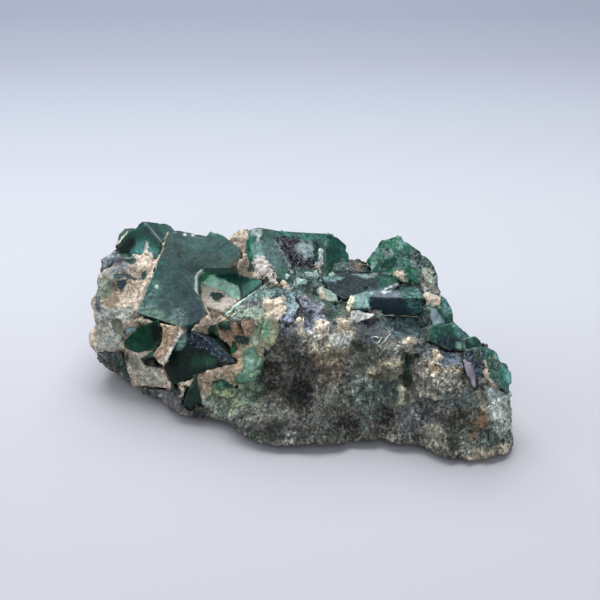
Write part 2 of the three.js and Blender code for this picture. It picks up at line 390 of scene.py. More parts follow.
def refine(piece, longest):
    # edges longer than the limit are halved until none is left
    makeActive(piece)
    bpy.ops.object.mode_set(mode="EDIT")
    bpy.ops.mesh.select_mode(type="EDGE")
    bpy.ops.mesh.select_all(action="SELECT")
    bpy.ops.mesh.quads_convert_to_tris(quad_method="BEAUTY", ngon_method="BEAUTY")
    for _ in range(9):
        bpy.ops.mesh.select_all(action="DESELECT")
        bpy.ops.object.mode_set(mode="OBJECT")
        points = pointsOf(piece)
        pairs = np.empty(len(piece.data.edges) * 2, dtype=np.int32)
        piece.data.edges.foreach_get("vertices", pairs)
        pairs = pairs.reshape(-1, 2)
        long = np.linalg.norm(points[pairs[:, 0]] - points[pairs[:, 1]], axis=1) > longest
        if not long.any():
            break
        piece.data.edges.foreach_set("select", long)
        bpy.ops.object.mode_set(mode="EDIT")
        bpy.ops.mesh.subdivide(number_cuts=1, ngon=False, quadcorner="STRAIGHT_CUT")
        bpy.ops.mesh.select_all(action="SELECT")
        bpy.ops.mesh.quads_convert_to_tris(quad_method="SHORTEST_DIAGONAL", ngon_method="BEAUTY")
    if bpy.context.object.mode != "OBJECT":
        bpy.ops.object.mode_set(mode="OBJECT")


def treeOf(piece):
    points = [v.co for v in piece.data.vertices]
    return BVHTree.FromPolygons(points, [tuple(f.vertices) for f in piece.data.polygons])


banks = {"steepest": 0.6, "behind": -0.2, "inset": 0.4, "unevenOver": 9, "levelFor": 1.5}


def bankAgainst(piece, grown, reach):
    # raises the surface round each crystal up to the crystal's edges, as rock does round what grew in it
    starts = [v.co.copy() for v in piece.data.vertices]
    moved = [start.copy() for start in starts]
    for crystal, facing, gap in grown:
        tree = treeOf(crystal)
        out = faceAxes(facing)[2]
        front = Vector((out.x, out.y, 0)).normalized()
        for i, start in enumerate(starts):
            near, normal, _, distance = tree.find_nearest(start, reach * mm)
            if near is None or abs(normal.dot(out)) > banks["steepest"]:
                continue
            if normal.dot(front) < banks["behind"] or tree.ray_cast(start, out)[0] is not None:
                continue
            top = tree.ray_cast(near - normal * banks["inset"] * mm, out)
            if top[0] is None:
                continue
            uneven = noise.noise(start / (banks["unevenOver"] * mm)) * 0.5 + 0.5
            room = top[3] - (gap[0] + (gap[1] - gap[0]) * uneven) * mm
            share = min((reach - distance / mm) / (reach - banks["levelFor"]), 1)
            lifted = start + out * max(room, 0) * share * share * (3 - 2 * share)
            # nothing is raised behind a crystal, where the crystal would stand in front of it
            higher = (lifted - start).length > (moved[i] - start).length
            if higher and tree.ray_cast(lifted, front)[0] is None:
                moved[i] = lifted
    movePoints(piece, np.array(moved) / mm)


def cloudTexture(name, size, **settings):
    texture = bpy.data.textures.new(name, "CLOUDS")
    texture.noise_scale = size * mm
    for key, value in settings.items():
        setattr(texture, key, value)
    return texture


def roughen(piece, textureName, strength, middle=0.5):
    applyModifier(piece, "DISPLACE", texture=bpy.data.textures[textureName], texture_coords="LOCAL",
                  strength=strength * mm, mid_level=middle)


reliefs = {
    "face waves": {"size": 7.0, "noise_depth": 2},
    "rock lumps": {"size": 5.0, "noise_depth": 3, "noise_basis": "VORONOI_F2_F1"},
    "rock crumble": {"size": 2.4, "noise_depth": 2, "noise_basis": "VORONOI_F2_F1"},
    "rock grain": {"size": 1.5, "noise_depth": 2},
    "clay lumps": {"size": 3.0, "noise_depth": 2},
    "clay grain": {"size": 1.2, "noise_depth": 3},
}
for reliefName, relief in reliefs.items():
    cloudTexture(reliefName, **relief)


def camelName(nodeName):
    first, *rest = nodeName.split("_")
    return first + "".join(word.capitalize() for word in rest)


# What a crystal's dictionary may leave out, and how every crystal weathers, in mm and degrees

plainCrystal = {"worn": 1, "chips": 0.9, "ragged": 0.35, "grain": 0.12, "marks": [], "films": []}
weather = {
    "sharpFrom": 25, "smoothBelow": 30, "chipReach": 1.6, "chipSize": 2.6, "chipSwing": 1.6, "chipSkip": 0.1,
    "filmEdge": 0.8, "filmRise": 0.35, "filmBumps": 0.7, "filmBumpSize": 1.4,
    "sideBelow": 0.5, "sideBlend": 0.35, "sideShare": 0.8, "sideGrain": 0.9,
}


def weatherCrystal(piece, ownShape):
    # fine mesh, waves, chips and clay films, and the values that the fluorite material reads
    shape = {**plainCrystal, **ownShape}
    edges = sharpEdges(piece, math.radians(weather["sharpFrom"]))
    if "rough" in shape:
        applyModifier(piece, "REMESH", mode="VOXEL", voxel_size=shape["mesh"] * mm)
    else:
        refine(piece, shape["mesh"])
    applyModifier(piece, "SMOOTH", factor=0.5, iterations=shape["worn"])
    roughen(piece, "face waves", shape["waves"])
    outwards = normalsOf(piece) @ np.array(faceAxes(shape["out"])[2])
    sides = smoothStep((weather["sideBelow"] - outwards) / weather["sideBlend"])
    if "rough" in shape:
        roughen(piece, "rock lumps", shape["rough"], 0.4)
        roughen(piece, "rock grain", shape["rough"] * 0.4)

    # worn edges: chipped inwards here and there
    points = pointsOf(piece)
    rim = distanceToEdges(points, edges)
    broken = wander(points, weather["chipSize"])[:, 0] * weather["chipSwing"] - weather["chipSkip"]
    chip = smoothStep(1 - rim / weather["chipReach"]) * np.clip(broken, 0, 1) * shape["chips"]
    movePoints(piece, points - normalsOf(piece) * chip[:, None])
    setValues(piece, "rim", rim)

    # clay lying on the faces stands a little proud of them
    ground = groundOf(piece, shape["ragged"])
    film = coverFrom(ground, shape["films"])
    rise = weather["filmRise"] + wander(points, weather["filmBumpSize"])[:, 1] * weather["filmBumps"]
    bumps = smoothStep(film / weather["filmEdge"]) * rise
    movePoints(piece, pointsOf(piece) + normalsOf(piece) * bumps[:, None])
    setValues(piece, "cover", film)

    # the sides are broken across and look like the rock
    tints = tintFrom(ground, shape["base"], shape["marks"])
    grain = grainFrom(ground, shape["grain"], shape["marks"])
    if "sides" in shape:
        share = sides * weather["sideShare"]
        tints = tints * (1 - share[:, None]) + np.array(toLinear(shape["sides"])[:3]) * share[:, None]
        grain = grain * (1 - share) + weather["sideGrain"] * share
    setColours(piece, "tint", tints)
    setValues(piece, "grain", grain)
    makeActive(piece)
    bpy.ops.object.shade_smooth_by_angle(angle=math.radians(weather["smoothBelow"]))


def crystalPiece(nodeName, shape):
    piece = copyOfNode(nodeName, camelName(nodeName))
    bpy.ops.object.mode_set(mode="EDIT")
    bpy.ops.mesh.select_all(action="SELECT")
    bpy.ops.mesh.dissolve_limited(angle_limit=math.radians(1.5))
    bpy.ops.object.mode_set(mode="OBJECT")
    weatherCrystal(piece, shape)
    return piece


# Green fluorite: cubes and octahedra grown in a vein, glassy where clean and dull where etched. Cloudy green
# to blue-grey inside, with pale edges that are partly worn and partly a painted highlight. The finest grain
# is drawn at 0.5 mm, a little coarser than life.

def greenFluorite(name, look):
    material, tree, shader = newMaterial(name, {"IOR": 1.434, "Specular IOR Level": look["gloss"]})
    place = addNode(tree, "TexCoord").outputs["Object"]
    tint = addNode(tree, "Attribute", {"attribute_name": "tint"})
    rim = addNode(tree, "Attribute", {"attribute_name": "rim"}).outputs["Fac"]
    film = addNode(tree, "Attribute", {"attribute_name": "cover"}).outputs["Fac"]
    etched = addNode(tree, "Attribute", {"attribute_name": "grain"}).outputs["Fac"]

    clouds = addNode(tree, "TexNoise", {"Scale": 1 / (look["cloudSize"] * mm), "Detail": 5.0,
                                        "Roughness": 0.65, "Distortion": 0.6}, {"Vector": place})
    fine = addNode(tree, "TexNoise", {"Scale": 1 / (look["grainSize"] * mm), "Detail": 3.0, "Roughness": 0.8},
                   {"Vector": place})
    bent = addNode(tree, "VectorMath", {"operation": "MULTIPLY_ADD", 1: (look["bend"] * mm,) * 3},
                   {0: fine.outputs["Color"], 2: place})
    flakes = addNode(tree, "TexVoronoi", {"Scale": 1 / (look["flakeSize"] * mm)}, {"Vector": bent})
    flake = addNode(tree, "SeparateColor", links={0: flakes.outputs["Color"]})

    # clouds inside the crystal, then the etched grain, both as a change of lightness
    cloudLight = addNode(tree, "MapRange", {1: 0.32, 2: 0.68, 3: 0.62, 4: 1.42}, {0: clouds})
    fineSwing = addNode(tree, "MapRange", {1: 0.35, 2: 0.65, 3: -0.75, 4: 0.85}, {0: fine})
    flakeSwing = addNode(tree, "MapRange", {3: -0.75, 4: 1.0}, {0: flake})
    swing = addNode(tree, "Math", {"operation": "ADD"}, {0: fineSwing, 1: flakeSwing})
    grained = addNode(tree, "Math", {"operation": "ADD", 1: 0.1}, {0: etched})
    grainLight = addNode(tree, "Math", {"operation": "MULTIPLY_ADD", 2: 1.0}, {0: swing, 1: grained})
    light = addNode(tree, "Math", {"operation": "MULTIPLY"}, {0: cloudLight, 1: grainLight})
    bright = addNode(tree, "Math", {"operation": "MAXIMUM", 1: 0.06}, {0: light})
    body = addNode(tree, "VectorMath", {"operation": "SCALE"}, {0: tint, "Scale": bright})

    # pale chips, none on clean faces and many where the face is etched
    chips = addNode(tree, "TexVoronoi", {"Scale": 1 / (look["chipSize"] * mm)}, {"Vector": bent})
    chip = addNode(tree, "SeparateColor", links={0: chips.outputs["Color"]})
    many = addNode(tree, "Math", {"operation": "MULTIPLY_ADD", 1: 0.2, 2: -1.05}, {0: etched})
    keep = addNode(tree, "Math", {"operation": "ADD"}, {0: chip.outputs[1], 1: many})
    speck = addNode(tree, "MapRange", {1: 0.0, 2: 0.01, 3: 0.0, 4: look["specks"]}, {0: keep})
    specked = addNode(tree, "Mix", {"data_type": "RGBA", 7: toLinear("#b4c2be")}, {0: speck, 6: body})

    # worn edges with a painted highlight on them: a thin pale line along parts of each edge
    frayed = addNode(tree, "MapRange", {1: 0.3, 2: 0.7, 3: -0.3, 4: 0.4}, {0: fine})
    rimPlace = addNode(tree, "Math", {"operation": "ADD"}, {0: rim, 1: frayed})
    rimLine = addNode(tree, "MapRange", {1: look["rimWidth"], 2: 0.0, 3: 0.0, 4: look["rimStrength"]},
                      {0: rimPlace})
    rimPart = addNode(tree, "MapRange", {1: 0.42, 2: 0.56}, {0: clouds})
    wornRimAndHighlightShare = addNode(tree, "Math", {"operation": "MULTIPLY"}, {0: rimLine, 1: rimPart})
    rimmed = addNode(tree, "Mix", {"data_type": "RGBA", 7: toLinear("#a9cabd")}, {0: wornRimAndHighlightShare, 6: specked})

    # clay film over part of the crystal
    filmPlace = addNode(tree, "Math", {"operation": "ADD"}, {0: film, 1: fineSwing})
    filmShare = addNode(tree, "MapRange", {1: -0.15, 2: 0.2}, {0: filmPlace})
    dark, middle, pale = (toLinear(tone) for tone in look["clay"])
    clayTone = addNode(tree, "Mix", {"data_type": "RGBA", 6: dark, 7: pale}, {0: flake.outputs[2]})
    claySoft = addNode(tree, "Mix", {"data_type": "RGBA", 0: 0.5, 7: middle}, {6: clayTone})
    colour = addNode(tree, "Mix", {"data_type": "RGBA"}, {0: filmShare, 6: rimmed, 7: claySoft})
    linkInputs(tree, shader, {"Base Color": colour})

    dull = addNode(tree, "Math", {"operation": "MULTIPLY_ADD", 1: 0.4, 2: look["roughness"]}, {0: etched})
    patchy = addNode(tree, "MapRange", {1: 0.3, 2: 0.7, 3: -0.06, 4: 0.12}, {0: clouds})
    shine = addNode(tree, "Math", {"operation": "ADD"}, {0: dull, 1: patchy})
    roughness = addNode(tree, "Mix", {"data_type": "FLOAT", 3: 0.95}, {0: filmShare, 2: shine})
    linkInputs(tree, shader, {"Roughness": roughness})

    opaque = addNode(tree, "Math", {"operation": "MAXIMUM"}, {0: filmShare, 1: etched})
    clear = addNode(tree, "MapRange", {1: 0.0, 2: 0.8, 3: look["clearness"], 4: 0.0}, {0: opaque})
    linkInputs(tree, shader, {"Transmission Weight": clear})

    depth = addNode(tree, "Math", {"operation": "MULTIPLY_ADD", 1: 1.5, 2: 0.15}, {0: etched})
    relief = addNode(tree, "Math", {"operation": "MAXIMUM"}, {0: depth, 1: filmShare})
    height = addNode(tree, "Math", {"operation": "MULTIPLY"}, {0: swing, 1: relief})
    bump = addNode(tree, "Bump", {"Strength": 0.6, "Distance": 0.12 * mm}, {"Height": height})
    linkInputs(tree, shader, {"Normal": bump})
    return material


# Cream clay: dried vein clay, dull, crumbly and pitted, with rusty specks. Its grains, finer in life, are
# drawn at 0.8 mm so that they show.

def creamClay(name, look):
    material, tree, shader = newMaterial(name, {"IOR": 1.45})
    place = addNode(tree, "TexCoord").outputs["Object"]
    tint = addNode(tree, "Attribute", {"attribute_name": "tint"})
    glass = addNode(tree, "Attribute", {"attribute_name": "cover"}).outputs["Fac"]
    glassTint = addNode(tree, "Attribute", {"attribute_name": "coverTint"})

    blotch = addNode(tree, "TexNoise", {"Scale": 1 / (look["blotchSize"] * mm), "Detail": 3.0,
                                        "Roughness": 0.7},
                     {"Vector": place})
    crumb = addNode(tree, "TexNoise", {"Scale": 1 / (look["crumbSize"] * mm), "Detail": 3.0, "Roughness": 0.8,
                                       "Distortion": 0.4}, {"Vector": place})
    bent = addNode(tree, "VectorMath", {"operation": "MULTIPLY_ADD", 1: (look["bend"] * mm,) * 3},
                   {0: crumb.outputs["Color"], 2: place})
    flakes = addNode(tree, "TexVoronoi", {"Scale": 1 / (look["flakeSize"] * mm)}, {"Vector": bent})
    flake = addNode(tree, "SeparateColor", links={0: flakes.outputs["Color"]})
    light = addNode(tree, "MapRange", {1: 0.34, 2: 0.66, 3: 0.84, 4: 1.16}, {0: blotch})
    crumbLight = addNode(tree, "MapRange", {1: 0.36, 2: 0.6, 3: 0.66, 4: 1.3}, {0: crumb})
    flakeLight = addNode(tree, "MapRange", {3: 0.7, 4: 1.4}, {0: flake})
    body = tint
    for lightness in (light, crumbLight, flakeLight):
        body = addNode(tree, "VectorMath", {"operation": "SCALE"}, {0: body, "Scale": lightness})

    # rusty crumbs, gathered in patches, and dark pits between them, painted shade where the bumps are lowest
    gathered = addNode(tree, "Math", {"operation": "MULTIPLY_ADD", 1: -1.1}, {0: blotch, 2: flake.outputs[1]})
    rustShare = addNode(tree, "MapRange", {1: 0.26, 2: 0.3, 3: 0.0, 4: look["rust"]}, {0: gathered})
    pitShadeShare = addNode(tree, "MapRange", {1: 0.39, 2: 0.33, 3: 0.0, 4: look["pits"]}, {0: crumb})
    for share, stain in ((rustShare, "#94704f"), (pitShadeShare, "#3d3226")):
        body = addNode(tree, "Mix", {"data_type": "RGBA", 7: toLinear(stain)}, {0: share, 6: body})

    # clean fluorite showing through it
    frayed = addNode(tree, "MapRange", {1: 0.3, 2: 0.7, 3: -0.5, 4: 0.5}, {0: crumb})
    glassPlace = addNode(tree, "Math", {"operation": "ADD"}, {0: glass, 1: frayed})
    glassShare = addNode(tree, "MapRange", {1: -0.12, 2: 0.15}, {0: glassPlace})
    cloudy = addNode(tree, "Math", {"operation": "MULTIPLY"}, {0: light, 1: crumbLight})
    green = addNode(tree, "VectorMath", {"operation": "SCALE"}, {0: glassTint, "Scale": cloudy})
    colour = addNode(tree, "Mix", {"data_type": "RGBA"}, {0: glassShare, 6: body, 7: green})
    linkInputs(tree, shader, {"Base Color": colour})
    roughness = addNode(tree, "Mix", {"data_type": "FLOAT", 2: 0.92, 3: 0.28}, {0: glassShare})
    linkInputs(tree, shader, {"Roughness": roughness})

    heap = addNode(tree, "Math", {"operation": "MULTIPLY_ADD", 1: 0.25}, {0: flake, 2: crumb})
    quiet = addNode(tree, "Math", {"operation": "SUBTRACT", 0: 1.12}, {1: glassShare})
    height = addNode(tree, "Math", {"operation": "MULTIPLY"}, {0: heap, 1: quiet})
    bump = addNode(tree, "Bump", {"Strength": 1.0, "Distance": 0.8 * mm}, {"Height": height})
    linkInputs(tree, shader, {"Normal": bump})
    return material


# Massive fluorite: the broken root of the vein, fibrous and crumbly, mottled in grey, brown, black, white and
# green. Its fibres, finer in life, are drawn 1 mm wide so that they show.

def massiveFluorite(name, look):
    material, tree, shader = newMaterial(name, {"IOR": 1.434})
    place = addNode(tree, "TexCoord").outputs["Object"]
    tint = addNode(tree, "Attribute", {"attribute_name": "tint"})
    crust = addNode(tree, "Attribute", {"attribute_name": "cover"}).outputs["Fac"]
    etched = addNode(tree, "Attribute", {"attribute_name": "grain"}).outputs["Fac"]

    # fibres stand upright, a little to the right, with broad and small flakes between them
    fibrewise = addNode(tree, "Mapping", {"Rotation": (0.3, 0.35, 0.2), "Scale": (1.0, 1.0, 0.17)},
                        {"Vector": place})
    blotch = addNode(tree, "TexNoise", {"Scale": 1 / (look["blotchSize"] * mm), "Detail": 3.0,
                                        "Roughness": 0.7, "Distortion": 0.8}, {"Vector": place})
    fibre = addNode(tree, "TexNoise", {"Scale": 1 / (look["fibreSize"] * mm), "Detail": 3.0,
                                       "Roughness": 0.8, "Distortion": 0.6}, {"Vector": fibrewise})
    crumb = addNode(tree, "TexNoise", {"Scale": 1 / (look["crumbSize"] * mm), "Detail": 3.0, "Roughness": 0.8,
                                       "Distortion": 0.4}, {"Vector": place})
    bent = addNode(tree, "VectorMath", {"operation": "MULTIPLY_ADD", 1: (look["bend"] * mm,) * 3},
                   {0: crumb.outputs["Color"], 2: place})
    broad = addNode(tree, "TexVoronoi", {"Scale": 1 / (look["broadFlakeSize"] * mm)}, {"Vector": bent})
    small = addNode(tree, "TexVoronoi", {"Scale": 1 / (look["flakeSize"] * mm)}, {"Vector": bent})
    broadFlake = addNode(tree, "SeparateColor", links={0: broad.outputs["Color"]})
    smallFlake = addNode(tree, "SeparateColor", links={0: small.outputs["Color"]})

    # brown and blue grey patches
    patches = addNode(tree, "TexNoise", {"Scale": 1 / (look["patchSize"] * mm), "Detail": 2.0},
                      {"Vector": place})
    warmShare = addNode(tree, "MapRange", {1: 0.5, 2: 0.64, 4: look["warm"]}, {0: patches})
    coolShare = addNode(tree, "MapRange", {1: 0.5, 2: 0.38, 4: look["cool"]}, {0: patches})
    for share, patch in ((warmShare, "#73674f"), (coolShare, "#606a6b")):
        tint = addNode(tree, "Mix", {"data_type": "RGBA", 7: toLinear(patch)}, {0: share, 6: tint})

    light = addNode(tree, "MapRange", {1: 0.34, 2: 0.66, 3: 0.5, 4: 1.65}, {0: blotch})
    fibreLight = addNode(tree, "MapRange", {1: 0.37, 2: 0.63, 3: 0.3, 4: 2.05}, {0: fibre})
    broadLight = addNode(tree, "MapRange", {3: 0.6, 4: 1.48}, {0: broadFlake})
    smallLight = addNode(tree, "MapRange", {3: 0.45, 4: 2.0}, {0: smallFlake})
    dusty = addNode(tree, "MapRange", {3: 0.58, 4: 1.46}, {0: smallFlake.outputs[2]})
    milky = tint
    for lightness in (light, dusty):
        milky = addNode(tree, "VectorMath", {"operation": "SCALE"}, {0: milky, "Scale": lightness})
    flaky = milky
    for lightness in (fibreLight, broadLight, smallLight):
        flaky = addNode(tree, "VectorMath", {"operation": "SCALE"}, {0: flaky, "Scale": lightness})

    # smooth milky parts that drift into busy flaky ones
    drift = addNode(tree, "TexNoise", {"Scale": 1 / (look["driftSize"] * mm), "Detail": 1.0},
                    {"Vector": place})
    drifted = addNode(tree, "MapRange", {1: 0.38, 2: 0.62, 3: 0.55, 4: 1.35}, {0: drift})
    busy = addNode(tree, "Math", {"operation": "MULTIPLY", "use_clamp": True}, {0: drifted, 1: etched})
    body = addNode(tree, "Mix", {"data_type": "RGBA"}, {0: busy, 6: milky, 7: flaky})

    # pale flakes, green flakes and black pits, the pits painted shade where the bumps are lowest
    pale = addNode(tree, "Mix", {"data_type": "RGBA", 0: 0.5, 6: toLinear("#c1beb5")}, {7: tint})
    paleShare = addNode(tree, "MapRange", {1: 0.87, 2: 0.89, 3: 0.0, 4: 0.7}, {0: smallFlake.outputs[1]})
    paleBusy = addNode(tree, "Math", {"operation": "MULTIPLY"}, {0: paleShare, 1: busy})
    body = addNode(tree, "Mix", {"data_type": "RGBA"}, {0: paleBusy, 6: body, 7: pale})
    greenShare = addNode(tree, "MapRange", {1: 0.8, 2: 0.84, 3: 0.0, 4: 0.3}, {0: broadFlake.outputs[1]})
    pitShadeShare = addNode(tree, "MapRange", {1: 0.46, 2: 0.38, 3: 0.0, 4: 0.85}, {0: crumb})
    pitShadeBusy = addNode(tree, "Math", {"operation": "MULTIPLY"}, {0: pitShadeShare, 1: busy})
    for share, stain in ((greenShare, "#3f5f54"), (pitShadeBusy, "#141716")):
        body = addNode(tree, "Mix", {"data_type": "RGBA", 7: toLinear(stain)}, {0: share, 6: body})

    # cream crust over it
    frayed = addNode(tree, "MapRange", {1: 0.3, 2: 0.7, 3: -1.0, 4: 1.0}, {0: fibre})
    crustPlace = addNode(tree, "Math", {"operation": "ADD"}, {0: crust, 1: frayed})
    crustShare = addNode(tree, "MapRange", {1: -0.1, 2: 0.3}, {0: crustPlace})
    crustTone = addNode(tree, "Mix", {"data_type": "RGBA", 6: toLinear("#9c8a6e"), 7: toLinear("#e6dcc8")},
                        {0: smallFlake.outputs[2]})
    colour = addNode(tree, "Mix", {"data_type": "RGBA"}, {0: crustShare, 6: body, 7: crustTone})
    linkInputs(tree, shader, {"Base Color": colour})

    roughness = addNode(tree, "MapRange", {1: 0.3, 2: 0.7, 3: 0.4, 4: 0.8}, {0: crumb})
    linkInputs(tree, shader, {"Roughness": roughness})
    heap = addNode(tree, "Math", {"operation": "MULTIPLY_ADD", 1: 0.2}, {0: smallFlake, 2: fibre})
    bump = addNode(tree, "Bump", {"Strength": 1.0, "Distance": 0.9 * mm}, {"Height": heap})
    bumpMore = addNode(tree, "Bump", {"Strength": 1.0, "Distance": 1.4 * mm},
                       {"Height": crumb, "Normal": bump})
    linkInputs(tree, shader, {"Normal": bumpMore})
    return material


fluoriteLook = {
    "cloudSize": 6.0, "grainSize": 1.3, "bend": 1.4, "flakeSize": 0.8, "chipSize": 0.5, "specks": 0.5,
    "rimWidth": 0.3, "rimStrength": 0.45, "roughness": 0.26, "gloss": 0.3, "clearness": 0.25,
    "clay": ("#a38e76", "#ddd0bb", "#f4ecde"),
}

# The crystals. "out" is the way that the large face looks, and "gap" how far below its edges the rock stays.
# Marks and clay films lie in the order in which they cover one another.

